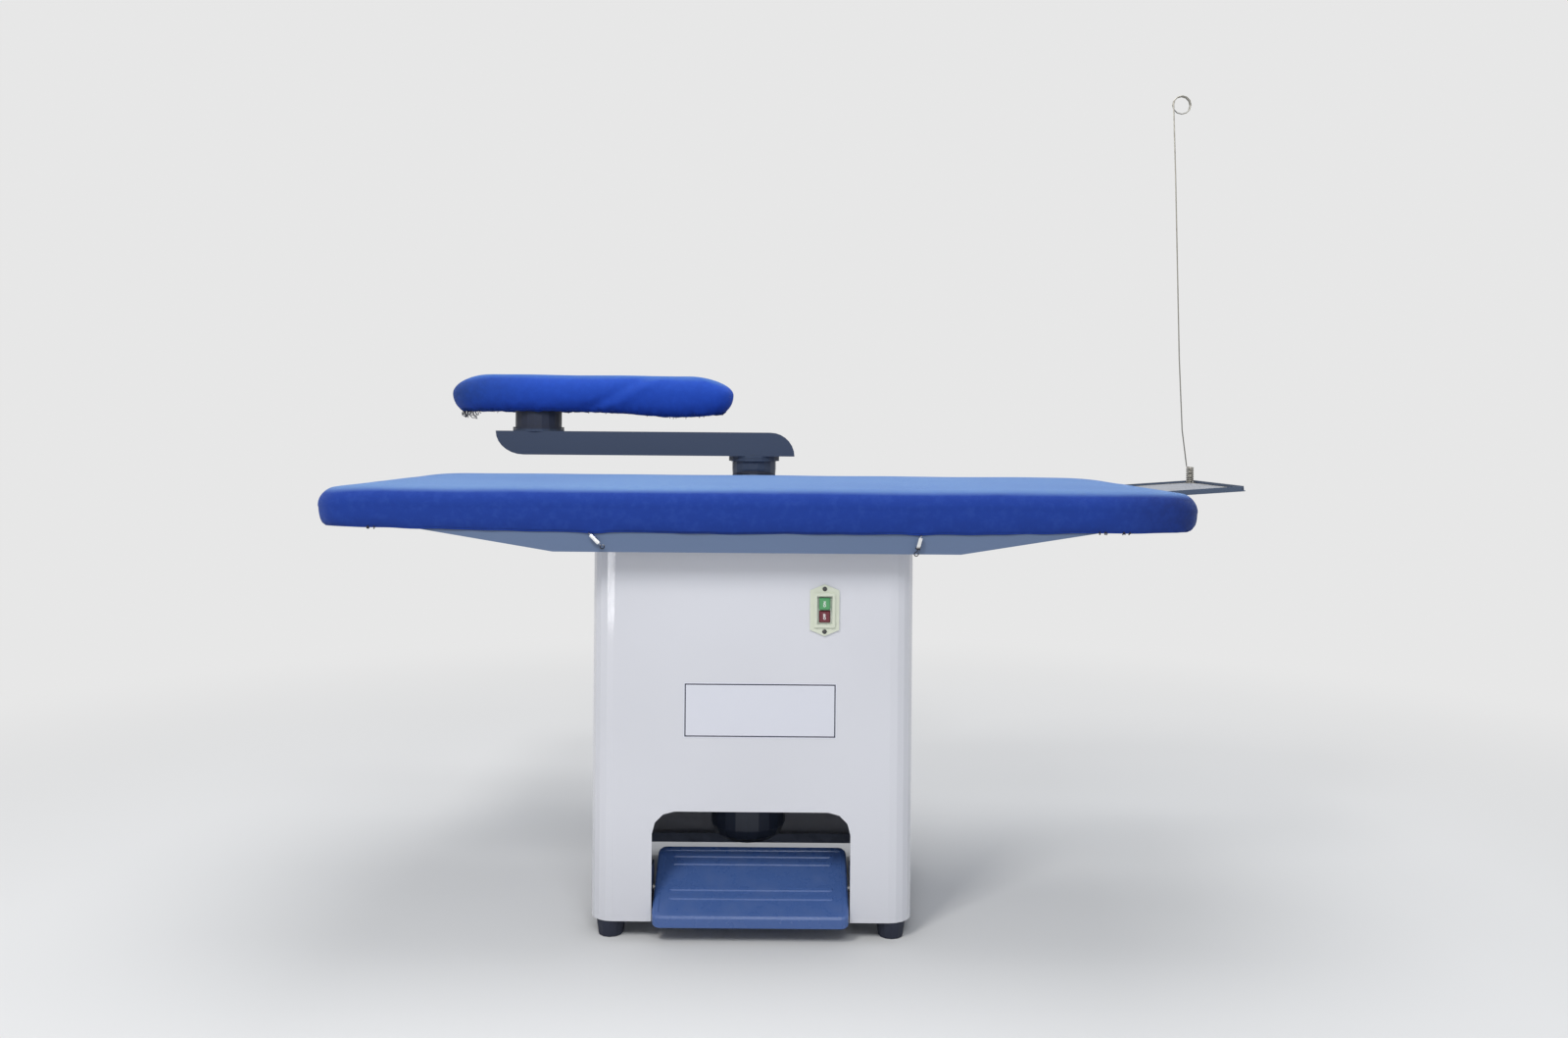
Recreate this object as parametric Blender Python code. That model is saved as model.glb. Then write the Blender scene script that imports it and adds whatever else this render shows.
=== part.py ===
"""Vacuum ironing table with a swing arm and a sleeve buck, as separate pieces.

Metres, +Z up, front at -Y, right at +X. The table is laid out round the middle
of the board with the floor at zero height. At the end the whole model is moved
so that its origin is the middle of its own footprint.
"""

import math

import bmesh
import bpy
from mathutils import Matrix, Vector

# Fits, cuts and faceting
FIT_GAP = 0.0003
CUT_OVERRUN = 0.004
CORNER_STEPS = 3
ROUND_SIDES = 20
SMALL_SIDES = 8
FOOT_SIDES = 12
EYE_SIDES = 12
AXLE_SIDES = 10
FELT_GAP = 0.0011
BOARD_CORNER_STEPS = 5

# Board, its cloth and its felt
BOARD_LENGTH = 1.642
BOARD_DEPTH = 0.760
BOARD_TOP = 0.855
BOARD_CORNER = 0.062
BOARD_CROWN = 0.004
COVER_CLOTH = 0.002
COVER_EDGE_RADIUS = 0.032
BOARD_END_DROOP = 0.007
BOARD_END_DROOP_REACH = 0.130
HEM_DROP = 0.087
HEM_RISE_AT_ENDS = 0.010
HEM_TUCK = 0.012
FELT_THICKNESS = 0.014
FELT_SKIRT_DROP = 0.059
BOARD_SIDE_STEPS = 5
BOARD_END_STEPS = 4
CROWN_INSET_SHARES = (0.18, 0.45, 0.80)
CROWN_HEIGHT_SHARES = (0.55, 0.90, 1.0)
EDGE_ROUND_STEPS = 3
MIN_RING_CORNER = 0.004

# Suction pan and its grid
PAN_INSET = 0.015
PAN_SHEET = 0.002
PAN_DEEP_WALL = 0.103
PAN_END_WALL = 0.036
PAN_END_STOP = 0.019
PAN_FLAT_LENGTH = 0.750
GRID_SHEET = 0.003
GRID_SLOT_LENGTH = 0.110
GRID_SLOT_WIDTH = 0.012
GRID_SLOT_RIB_X = 0.090
GRID_SLOT_RIB_Y = 0.105
GRID_MARGIN = 0.070
GRID_BEARER_SPACING = 0.360
GRID_BEARER_PLACES = (-1.5, -0.5, 0.5, 1.5)
GRID_BEARER_HEIGHT = 0.025
GRID_BEARER_SHEET = 0.003

# Hooks that hold the cover's hem down
HOOK_HALF_SPACING = 0.297
HOOK_BARREL_LENGTH = 0.022
HOOK_BARREL_RADIUS = 0.0045
HOOK_WIRE_RADIUS = 0.0010
HOOK_WIRE_LENGTH = 0.032
HOOK_EYE_RADIUS = 0.0038
HOOK_TILTS = (-45, 15)

# Cabinet
CABINET_WIDTH = 0.610
CABINET_DEPTH = 0.480
CABINET_CENTRE_X = -0.008
CABINET_CENTRE_Y = -0.070
CABINET_CORNER = 0.045
CABINET_SHEET = 0.002
CABINET_RETURN = 0.022
OPENING_JAMB = 0.11825
OPENING_TOP = 0.240
OPENING_CORNER = 0.042
LUG_LENGTH = 0.041
LUG_WIDTH = 0.034
LUG_THICKNESS = 0.005
LUG_OVERLAP = 0.014
LUG_SETBACK = 0.052

# Base frame and feet
FOOT_HEIGHT = 0.033
FOOT_TOP_RADIUS = 0.027
FOOT_BASE_RADIUS = 0.0235
FOOT_FROM_SIDE = 0.039
FOOT_FROM_FRONT = 0.030
FOOT_FROM_REAR = 0.030
FOOT_STUD_RADIUS = 0.005
FOOT_TAPER_SHARE = 0.75
FOOT_EDGE_ROUND = 0.0015
FOOT_NUT_RADIUS = 0.0095
NUT_HEIGHT = 0.006
FRAME_SHEET = 0.003
FRAME_RAIL_WIDTH = 0.064
FRAME_UPSTAND = 0.017
FRAME_REAR_WIDTH = 0.020

# Rear panel with its vents
REAR_EXHAUST_SLOTS = 9
REAR_COOLING_SLOTS = 7
REAR_SLOT_HEIGHT = 0.007
REAR_SLOT_RIB = 0.006
REAR_COOLING_SLOT_WIDTH = 0.200
REAR_COOLING_BOTTOM = 0.110
PANEL_EDGE_INSET = 0.003
REAR_SCREW_ROWS = 1
SCREW_HEAD_RADIUS = 0.0045
SCREW_HEAD_HEIGHT = 0.0022
SCREW_DOME_SHARES = ((0.6, 0.85), (1.0, 0.2))
SCREW_SHANK_RADIUS = 0.0020
SCREW_SHANK_LENGTH = 0.0075
GLAND_HEIGHT = 0.560
GLAND_FROM_SIDE = 0.090
GLAND_RADIUS = 0.0130
GLAND_BORE = 0.0050
GLAND_THREAD_RADIUS = 0.0080
GLAND_OUTSIDE = 0.022
GLAND_NUT_HEIGHT = 0.005
GLAND_CONE_SHARE = 0.55

# Starter switch
SWITCH_FROM_SIDE = 0.170
SWITCH_BELOW_TOP = 0.1108
SWITCH_PLATE_WIDTH = 0.055
SWITCH_PLATE_HEIGHT = 0.097
SWITCH_PLATE_SHOULDER = 0.074
SWITCH_PLATE_SHEET = 0.003
SWITCH_FRAME_WIDTH = 0.0395
SWITCH_FRAME_HEIGHT = 0.0645
SWITCH_FRAME_PROUD = 0.003
SWITCH_RECESS_WIDTH = 0.0287
SWITCH_RECESS_HEIGHT = 0.0530
SWITCH_BODY_WIDTH = 0.046
SWITCH_BODY_HEIGHT = 0.070
SWITCH_BODY_DEPTH = 0.058
SWITCH_SCREW_INSET = 0.0085
BUTTON_WIDTH = 0.0205
BUTTON_HEIGHT = 0.0220
BUTTON_DEPTH = 0.0150
BUTTON_SPLIT = 0.0020
BUTTON_TRAVEL = 0.0040
BUTTON_PROUD = 0.0015
BUTTON_SIDE_GAP = 0.0004
BUTTON_ROUND = 0.0015

# Foot pedal, its axle and brackets
PEDAL_SIDE_CLEARANCE = 0.00275
PEDAL_RUN = 0.148
PEDAL_RISE = 0.085
PEDAL_FRONT_TOP = 0.051
PEDAL_NOSE = 0.025
PEDAL_SHEET = 0.002
PEDAL_DROP = 0.020
PEDAL_CORNER = 0.014
PEDAL_EDGE_ROUND = 0.003
PEDAL_BEAD_HEIGHT_SHARE = 0.5
BOSS_WELD = 0.001
PEDAL_BORDER = 0.011
PEDAL_BORDER_STEP = 0.0012
PEDAL_BEAD_RADIUS = 0.0048
PEDAL_BEAD_END_MARGIN = 0.028
PEDAL_BEAD_SHARES = (0.14, 0.25, 0.61, 0.73)
PEDAL_TRAVEL = 14
AXLE_RADIUS = 0.005
AXLE_FROM_NOSE = 0.073
AXLE_BELOW_TOP = 0.011
BRACKET_SHEET = 0.003
BRACKET_GAP = 0.004
BRACKET_HEIGHT = 0.080
BRACKET_BELOW_AXLE = 0.034
BRACKET_BEHIND_AXLE = 0.016
BRACKET_FLANGE = 0.034
AXLE_HEAD_RADIUS = 0.0085
AXLE_CLIP_THICKNESS = 0.0015

# Linkage from the pedal to the damper
LINK_FROM_SIDE = 0.070
CRANK_SHEET = 0.006
CRANK_BOSS_RADIUS = 0.013
CRANK_TIP_RADIUS = 0.010
LINK_PIN_RADIUS = 0.004
LINK_PIN_HEAD_RADIUS = 0.0065
LINK_PIN_HEAD = 0.003
LINK_EYE_RADIUS = 0.0105
LINK_EYE_SHEET = 0.006
LINK_TOP_EYE_RADIUS = 0.0135
LINK_TOP_CLEARANCE = 0.0024
DAMPER_SWING = 36
DAMPER_HEIGHT = 0.600
DAMPER_SHEET = 0.003
DAMPER_RIM_CLEARANCE = 0.0008
DAMPER_SPINDLE_RADIUS = 0.005
DAMPER_SPINDLE_OUT = 0.012
SPRING_FREE_LENGTH = 0.110
SPRING_RADIUS = 0.0085
SPRING_WIRE_RADIUS = 0.0011
SPRING_CURLS = 7
SPRING_POINTS = 8
SPRING_COLLAR_HEIGHT = 0.300
SPRING_COLLAR_RADIUS = 0.0115
SPRING_COLLAR_THICKNESS = 0.006
GUIDE_SHEET = 0.003
GUIDE_WIDTH = 0.040
GUIDE_FLANGE = 0.030
GUIDE_HOLE_CLEARANCE = 0.0022
GUIDE_PAST_ROD = 0.015

# Blower under the board
BLOWER_OFFSET_X = -0.012
MOTOR_RADIUS = 0.074
MOTOR_FIN_DEPTH = 0.007
MOTOR_FINS = 16
MOTOR_FIN_SHARE = 0.40
MOTOR_FIN_DRAFT_SHARE = 0.08
MOTOR_TOP = 0.338
MOTOR_FIN_LENGTH = 0.130
COWL_BOTTOM = 0.110
COWL_RADIUS = 0.076
COWL_DOME = 0.040
COWL_DOME_STEPS = 3
COWL_SHEET = 0.002
COWL_VENT_RADIUS = 0.022
MOTOR_FLANGE_RADIUS = 0.090
MOTOR_FLANGE_THICKNESS = 0.006
MOTOR_BOLT_CIRCLE = 0.082
MOTOR_BOLTS = 4
MOTOR_SHAFT_RADIUS = 0.008
MOTOR_SHAFT_SOCKET = 0.016
TERMINAL_BOX_WIDTH = 0.070
TERMINAL_BOX_DEPTH = 0.030
TERMINAL_BOX_HEIGHT = 0.060
SCROLL_HEIGHT = 0.120
SCROLL_SHEET = 0.002
SCROLL_SMALL_RADIUS = 0.140
SCROLL_LARGE_RADIUS = 0.190
SCROLL_CUTOFF_ANGLE = 50
SCROLL_STEPS = 20
SCROLL_SHAFT_HOLE = 0.024
IMPELLER_RADIUS = 0.125
IMPELLER_EYE_RADIUS = 0.072
IMPELLER_SHEET = 0.003
IMPELLER_FLOOR_GAP = 0.014
IMPELLER_HEIGHT = 0.078
IMPELLER_BLADES = 10
IMPELLER_BLADE_SHEET = 0.0025
IMPELLER_BLADE_SWEEP = 38
IMPELLER_BLADE_STEPS = 3
IMPELLER_HUB_RADIUS = 0.020
IMPELLER_HUB_HEIGHT = 0.034
BLADE_FIT = 0.001
SHAFT_NUT_RADIUS = 0.014
SHAFT_NUT_HEIGHT = 0.008
DUCT_RADIUS = 0.090
DUCT_SHEET = 0.002
DUCT_FLANGE = 0.014
DUCT_FLANGE_SHEET = 0.002
RAIL_HEIGHT = 0.030
RAIL_WIDTH = 0.030
RAIL_SHEET = 0.003
RAIL_OFFSET_Y = 0.112
RAIL_TIE_LINK_GAP = 0.015

# Elbow and swing arm
POST_X = -0.026
POST_BEHIND_BOARD = 0.075
ELBOW_BEND_RADIUS = 0.080
ELBOW_STEM = 0.0194
ELBOW_TOP_RADIUS = 0.054
ELBOW_MOUTH_RIM = 0.0065
ELBOW_SHEET = 0.0015
ELBOW_SEAMS = 3
ELBOW_SIDES = 18
ELBOW_ENTRY = 0.012
ELBOW_SLOT_CLEARANCE = 0.0015
SEAL_WIDTH = 0.006
SEAL_THICKNESS = 0.0016
POST_FLANGE_RADIUS = 0.0625
POST_FLANGE_THICKNESS = 0.0055
SWIVEL_WASHER_THICKNESS = 0.0015
ARM_FLANGE_THICKNESS = 0.0045
SPIGOT_CLEARANCE = 0.0006
SPIGOT_SHEET = 0.0015
POST_BOLT_CIRCLE = 0.0578
SWIVEL_SCREW_ANGLE = 205
POST_BOLT_RADIUS = 0.0018
POST_BOLT_HEAD_RADIUS = 0.0035
POST_BOLT_HEAD_HEIGHT = 0.0022
ARM_HEIGHT = 0.058
ARM_WIDTH = 0.118
ARM_SHEET = 0.002
ARM_LEFT_REACH = 0.631
ARM_RIGHT_REACH = 0.100
ARM_LEFT_NOSE = 0.069
ARM_RIGHT_NOSE = 0.060
ARM_NOSE_STEPS = 7

# Sleeve buck
BUCK_POST_REACH = 0.537
BUCK_POST_RADIUS = 0.057
BUCK_POST_SHEET = 0.0015
BUCK_POST_HEIGHT = 0.036
BUCK_FLANGE_RADIUS = 0.063
BUCK_FLANGE_THICKNESS = 0.0045
BUCK_BEARING_THICKNESS = 0.0045
BUCK_LEFT_RADIUS = 0.095
BUCK_RIGHT_RADIUS = 0.055
BUCK_LEFT_CENTRE = -0.117
BUCK_RIGHT_CENTRE = 0.430
BUCK_HEIGHT = 0.093
BUCK_BELLY = 0.012
BUCK_BELLY_SHARE = 0.84
BUCK_CLOTH = 0.002
BUCK_FELT = 0.012
BUCK_PAN_INSET = 0.024
BUCK_LEFT_NOSE_RUN = 0.105
BUCK_RIGHT_NOSE_RUN = 0.130
BUCK_NOSE_REACH = 0.250
BUCK_CORE_LEFT_STOP = 0.030
BUCK_CORE_RIGHT_STOP = 0.044
BUCK_EDGE_RUN = 0.040
BUCK_HEM_ANGLE = -68
BUCK_SIDE_RINGS = 8
BUCK_FELT_SKIPS = 1
BUCK_BELLY_REACH = 0.120
BUCK_PAN_SHEET = 0.0015
BUCK_PAN_SOLE_LIFT = 0.010
BUCK_GRID_SHEET = 0.002
BUCK_GRID_SLOT_WIDTH = 0.008
BUCK_GRID_SLOT_PITCH = 0.044
BUCK_GRID_SLOT_MARGIN = 0.022
BUCK_END_STEPS = 8
BUCK_SIDE_STEPS = 4

# Iron rest tray
TRAY_FROM_BOARD_END = 0.021
TRAY_WIDTH = 0.178
TRAY_DEPTH = 0.336
TRAY_CENTRE_Y = 0.138
TRAY_BELOW_BOARD_TOP = 0.019
TRAY_TILT = 4.2
TRAY_SHEET = 0.002
TRAY_RIM = 0.011
TRAY_RIM_SETBACK = 0.007
TRAY_MAT_THICKNESS = 0.004
TRAY_MAT_MARGIN = 0.006
TRAY_ARM_SPACING = 0.180
TRAY_ARM_WIDTH = 0.024
TRAY_ARM_SHEET = 0.004
TRAY_ARM_ON_PAN = 0.060
TRAY_ARM_UNDER_TRAY = 0.095
TRAY_ARM_FROM_PAN_END = 0.085
TRAY_ARM_HEM_GAP = 0.004
BOLT_RADIUS = 0.003
BOLT_END = 0.0035
BOLT_HEAD_RADIUS = 0.0065
BOLT_HEAD_HEIGHT = 0.0040

# Hose and flex support pole
POLE_FROM_RIGHT = 0.0135
POLE_FROM_BACK = 0.018
POLE_WIRE_RADIUS = 0.0015
POLE_COIL_RADIUS = 0.0080
POLE_COIL_TURNS = 8
POLE_COIL_PITCH = 0.0042
POLE_COIL_POINTS = 8
POLE_HEIGHT = 0.8525
POLE_LEAN = 0.037
POLE_BEND_SHARES = (0.0, 0.10, 0.30, 0.55, 0.80, 1.0)
POLE_LEAN_SHARES = (0.0, 0.30, 0.52, 0.68, 0.84, 1.0)
POLE_EYE_RADIUS = 0.021
POLE_EYE_TURNS = 1.6
POLE_EYE_RISE = 0.012
POLE_EYE_POINTS = 12
POLE_STUD_RADIUS = 0.0058
POLE_COLLAR_RADIUS = 0.0095
POLE_COLLAR_HEIGHT = 0.006

# Heights and faces that follow from the sizes above
TRAY_LEFT = BOARD_LENGTH / 2 + TRAY_FROM_BOARD_END
TRAY_TOP_LEFT = BOARD_TOP - TRAY_BELOW_BOARD_TOP
PAN_RIM = BOARD_TOP - COVER_CLOTH - FELT_THICKNESS - GRID_SHEET - FIT_GAP * 3
PAN_BOTTOM = PAN_RIM - PAN_DEEP_WALL
PAN_HALF_LENGTH = BOARD_LENGTH / 2 - PAN_INSET - PAN_END_STOP
PAN_HALF_DEPTH = BOARD_DEPTH / 2 - PAN_INSET
PAN_CORNER = BOARD_CORNER - PAN_INSET
CABINET_FRONT = CABINET_CENTRE_Y - CABINET_DEPTH / 2
CABINET_REAR = CABINET_CENTRE_Y + CABINET_DEPTH / 2
CABINET_TOP = PAN_BOTTOM - FIT_GAP
CABINET_RIGHT = CABINET_CENTRE_X + CABINET_WIDTH / 2
CABINET_LEFT = CABINET_CENTRE_X - CABINET_WIDTH / 2
REAR_PANEL_FRONT = CABINET_REAR + FIT_GAP
OPENING_WIDTH = CABINET_WIDTH - OPENING_JAMB * 2
PEDAL_WIDTH = OPENING_WIDTH - PEDAL_SIDE_CLEARANCE * 2
SWITCH_X = CABINET_RIGHT - SWITCH_FROM_SIDE
SWITCH_HEIGHT = CABINET_TOP - SWITCH_BELOW_TOP
BLOWER_X = CABINET_CENTRE_X + BLOWER_OFFSET_X
BLOWER_Y = CABINET_CENTRE_Y
SCROLL_BOTTOM = MOTOR_TOP + MOTOR_FLANGE_THICKNESS + FIT_GAP
SCROLL_TOP = SCROLL_BOTTOM + SCROLL_HEIGHT
PEDAL_FRONT = CABINET_FRONT - PEDAL_NOSE
PEDAL_LENGTH = math.hypot(PEDAL_RUN, PEDAL_RISE)
AXLE_Y = PEDAL_FRONT + AXLE_FROM_NOSE
AXLE_Z = PEDAL_FRONT_TOP + AXLE_FROM_NOSE * PEDAL_RISE / PEDAL_RUN - AXLE_BELOW_TOP
LINK_X = CABINET_RIGHT - LINK_FROM_SIDE
HALF_TRAVEL = math.radians(PEDAL_TRAVEL / 2)
HALF_SWING = math.radians(DAMPER_SWING / 2)
LEVER_SHARE = math.sin(HALF_TRAVEL) / math.sin(HALF_SWING)
CRANK_LENGTH = (BLOWER_Y - AXLE_Y) / (math.cos(HALF_TRAVEL) + LEVER_SHARE * math.cos(HALF_SWING))
LEVER_LENGTH = CRANK_LENGTH * LEVER_SHARE
LINK_Y = AXLE_Y + CRANK_LENGTH * math.cos(HALF_TRAVEL)
LINK_FOOT = AXLE_Z - CRANK_LENGTH * math.sin(HALF_TRAVEL)
LINK_HEAD = DAMPER_HEIGHT - LEVER_LENGTH * math.sin(HALF_SWING)
PIN_DRIFT = LEVER_LENGTH * (1 - math.cos(HALF_SWING)) + CRANK_LENGTH * (1 - math.cos(HALF_TRAVEL))
POST_Y = BOARD_DEPTH / 2 + POST_BEHIND_BOARD
ELBOW_MOUTH_RADIUS = PAN_DEEP_WALL / 2 - ELBOW_MOUTH_RIM
ELBOW_MOUTH_HEIGHT = PAN_BOTTOM + PAN_DEEP_WALL / 2
ELBOW_BEND_HEIGHT = ELBOW_MOUTH_HEIGHT + ELBOW_BEND_RADIUS
POST_FLANGE_HEIGHT = ELBOW_BEND_HEIGHT + ELBOW_STEM
POST_FLANGE_TOP = POST_FLANGE_HEIGHT + POST_FLANGE_THICKNESS
SWIVEL_TOP = POST_FLANGE_TOP + SWIVEL_WASHER_THICKNESS + FIT_GAP * 2
ARM_BOTTOM = SWIVEL_TOP + ARM_FLANGE_THICKNESS + FIT_GAP
ARM_TOP = ARM_BOTTOM + ARM_HEIGHT
BUCK_X = POST_X - BUCK_POST_REACH
BUCK_SWIVEL = ARM_TOP + FIT_GAP + BUCK_BEARING_THICKNESS + FIT_GAP
BUCK_SOLE = BUCK_SWIVEL + BUCK_FLANGE_THICKNESS + BUCK_POST_HEIGHT - FIT_GAP
ELBOW_CENTRE_Y = POST_Y - ELBOW_BEND_RADIUS

LINK_ROD_RADIUS = LINK_EYE_SHEET / 2 - FIT_GAP

PIVOTS = {
    "table": (0, 0, 0),
    "arm": (POST_X, POST_Y, SWIVEL_TOP),
    "buck": (BUCK_X, POST_Y, BUCK_SWIVEL),
    "pedal": (LINK_X, AXLE_Y, AXLE_Z),
    "link": (LINK_X, LINK_Y, LINK_FOOT),
    "damper": (LINK_X, BLOWER_Y, DAMPER_HEIGHT),
    "impeller": (BLOWER_X, BLOWER_Y, SCROLL_BOTTOM),
    "on_button": (SWITCH_X, CABINET_FRONT, SWITCH_HEIGHT),
    "off_button": (SWITCH_X, CABINET_FRONT, SWITCH_HEIGHT),
}

FRONT_VIEW = Matrix.Rotation(math.radians(90), 4, "X")
SIDE_VIEW = Matrix(((0, 0, 1, 0), (1, 0, 0, 0), (0, 1, 0, 0), (0, 0, 0, 1)))
REAR_VIEW = Matrix(((-1, 0, 0, 0), (0, 0, 1, 0), (0, 1, 0, 0), (0, 0, 0, 1)))
UPRIGHT = Matrix.Identity(4)

SHEET_SMOOTH = math.radians(30)
TURNED_SMOOTH = math.radians(40)
SOFT_SMOOTH = math.radians(80)

# Base colour, roughness and metallic value of each material
BOARD_CLOTH = ((0.03, 0.09, 0.36), 0.85)
BUCK_BLUE_CLOTH = ((0.02, 0.07, 0.42), 0.85)
FELT = ((0.62, 0.60, 0.55), 0.95)
SLATE_PAINT = ((0.13, 0.17, 0.25), 0.45)
PEDAL_PAINT = ((0.04, 0.09, 0.24), 0.35)
CABINET_PAINT = ((0.72, 0.73, 0.76), 0.35)
ZINC = ((0.55, 0.56, 0.58), 0.35, 0.9)
STEEL = ((0.50, 0.50, 0.52), 0.30, 1.0)
BRIGHT_STEEL = ((0.70, 0.70, 0.70), 0.20, 1.0)
BLACK_RUBBER = ((0.02, 0.02, 0.03), 0.70)
DARK_PAINT = ((0.02, 0.025, 0.04), 0.50)
CREAM_PLASTIC = ((0.62, 0.60, 0.50), 0.45)
BLACK_PLASTIC = ((0.03, 0.03, 0.03), 0.50)
GREEN_PLASTIC = ((0.06, 0.26, 0.11), 0.40)
RED_PLASTIC = ((0.16, 0.01, 0.02), 0.40)
NYLON = ((0.75, 0.74, 0.70), 0.50)
SILVER_MAT = ((0.60, 0.62, 0.64), 0.40, 0.3)
CAST_ALLOY = ((0.45, 0.46, 0.48), 0.45, 0.8)


def clear_scene():
    """Start from an empty scene."""
    for item in list(bpy.data.objects):
        bpy.data.objects.remove(item, do_unlink=True)


def finish(name, colour, roughness, metallic=0.0):
    """One material from its colour, roughness and metallic value."""
    material = bpy.data.materials.new(name)
    material.use_nodes = True
    shader = material.node_tree.nodes["Principled BSDF"]
    shader.inputs["Base Color"].default_value = (*colour, 1.0)
    shader.inputs["Roughness"].default_value = roughness
    shader.inputs["Metallic"].default_value = metallic
    material.diffuse_color = (*colour, 1.0)
    return material


def arc(centre, radius, start, end, steps):
    """Points of an arc from start to end in degrees, both ends included."""
    angles = [math.radians(start + (end - start) * i / steps) for i in range(steps + 1)]
    return [(centre[0] + radius * math.cos(a), centre[1] + radius * math.sin(a)) for a in angles]


def circle(radius, sides=ROUND_SIDES, centre=(0, 0)):
    """Closed circle, counterclockwise."""
    return arc(centre, radius, 0, 360, sides)[:-1]


def rounded_rectangle(width, height, radius, centre=(0, 0), steps=CORNER_STEPS):
    """Closed rectangle with round corners, counterclockwise from the right."""
    x, y = width / 2 - radius, height / 2 - radius
    places = ((x, -y, -90), (x, y, 0), (-x, y, 90), (-x, -y, 180))
    outline = []
    for px, py, start in places:
        outline += arc((centre[0] + px, centre[1] + py), radius, start, start + 90, steps)
    return outline


def rectangle(left, bottom, right, top):
    """Closed rectangle from two corners, counterclockwise."""
    return [(left, bottom), (right, bottom), (right, top), (left, top)]


def plate(outline, thickness, holes=()):
    """Flat sheet above the XY plane, with its holes cut through."""
    mesh = bmesh.new()
    for loop in (outline, *holes):
        corners = [mesh.verts.new((x, y, 0)) for x, y in loop]
        for i, corner in enumerate(corners):
            mesh.edges.new((corners[i - 1], corner))
    bmesh.ops.triangle_fill(mesh, edges=mesh.edges[:], use_beauty=True)
    grown = bmesh.ops.extrude_face_region(mesh, geom=mesh.faces[:])
    lifted = [item for item in grown["geom"] if isinstance(item, bmesh.types.BMVert)]
    bmesh.ops.translate(mesh, verts=lifted, vec=(0, 0, thickness))
    bmesh.ops.recalc_face_normals(mesh, faces=mesh.faces[:])
    return mesh


def skin(rings, looped=False):
    """Closed body through rings of equal count; a ring of one point is a tip."""
    mesh = bmesh.new()
    rows = [[mesh.verts.new(point) for point in ring] for ring in rings]
    pairs = list(zip(rows, rows[1:]))
    if looped:
        pairs.append((rows[-1], rows[0]))
    for lower, upper in pairs:
        for i in range(max(len(lower), len(upper))):
            j = i + 1
            corners = [lower[i % len(lower)], lower[j % len(lower)]]
            corners += [upper[j % len(upper)], upper[i % len(upper)]]
            face = list(dict.fromkeys(corners))
            mesh.faces.new(face)
    if not looped:
        for row in (rows[0], rows[-1]):
            if len(row) > 1:
                mesh.faces.new(row)
    bmesh.ops.recalc_face_normals(mesh, faces=mesh.faces[:])
    return mesh


def turned(profile, sides=ROUND_SIDES):
    """Body turned round Z from a profile of radius and height pairs."""
    rings = []
    for radius, height in profile:
        if radius == 0:
            rings.append([(0, 0, height)])
        else:
            rings.append([(x, y, height) for x, y in circle(radius, sides)])
    return skin(rings, looped=profile[0][0] > 0)


def flat_radius(radius, sides=ROUND_SIDES):
    """Radius of the circle that touches the flats of a many-sided bore."""
    return radius * math.cos(math.pi / sides)


def pin(radius, length, sides=SMALL_SIDES):
    """Plain cylinder from zero height upward."""
    return turned([(0, 0), (radius, 0), (radius, length), (0, length)], sides)


def ring(inner, outer, length, sides=ROUND_SIDES):
    """Plain hollow cylinder from zero height upward."""
    return turned([(inner, 0), (outer, 0), (outer, length), (inner, length)], sides)


def hexagon_bolt(head_radius, head_height, shank_radius, shank_length):
    """Hexagon head above zero height with its shank below, as one body."""
    head = plate(circle(head_radius, 6), head_height)
    shank = placed(pin(shank_radius, shank_length + FIT_GAP), (0, 0, -shank_length))
    return combine(head, shank, "UNION")


def screw():
    """Pan head screw with its shank below zero height."""
    dome = [(0, SCREW_HEAD_HEIGHT)]
    dome += [(SCREW_HEAD_RADIUS * r, SCREW_HEAD_HEIGHT * h) for r, h in SCREW_DOME_SHARES]
    rim = [(SCREW_HEAD_RADIUS, 0)]
    shank = [(SCREW_SHANK_RADIUS, 0), (SCREW_SHANK_RADIUS, -SCREW_SHANK_LENGTH)]
    return turned(dome + rim + shank + [(0, -SCREW_SHANK_LENGTH)], SMALL_SIDES)


def tube(points, radius, resolution=1):
    """Round bar along points, with filled ends."""
    path = bpy.data.curves.new("path", "CURVE")
    path.dimensions = "3D"
    path.bevel_depth = radius
    path.bevel_resolution = resolution
    path.use_fill_caps = True
    spline = path.splines.new("POLY")
    spline.points.add(len(points) - 1)
    for knot, point in zip(spline.points, points):
        knot.co = (*point, 1)
    holder = bpy.data.objects.new("path", path)
    bpy.context.scene.collection.objects.link(holder)
    mesh = bmesh.new()
    mesh.from_mesh(evaluated_mesh(holder))
    bpy.data.objects.remove(holder, do_unlink=True)
    bmesh.ops.remove_doubles(mesh, verts=mesh.verts[:], dist=radius / 1000)
    bmesh.ops.recalc_face_normals(mesh, faces=mesh.faces[:])
    return mesh


def evaluated_mesh(holder):
    """Mesh of an object as its modifiers leave it."""
    bpy.context.view_layer.update()
    depsgraph = bpy.context.evaluated_depsgraph_get()
    return bpy.data.meshes.new_from_object(holder.evaluated_get(depsgraph))


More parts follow.
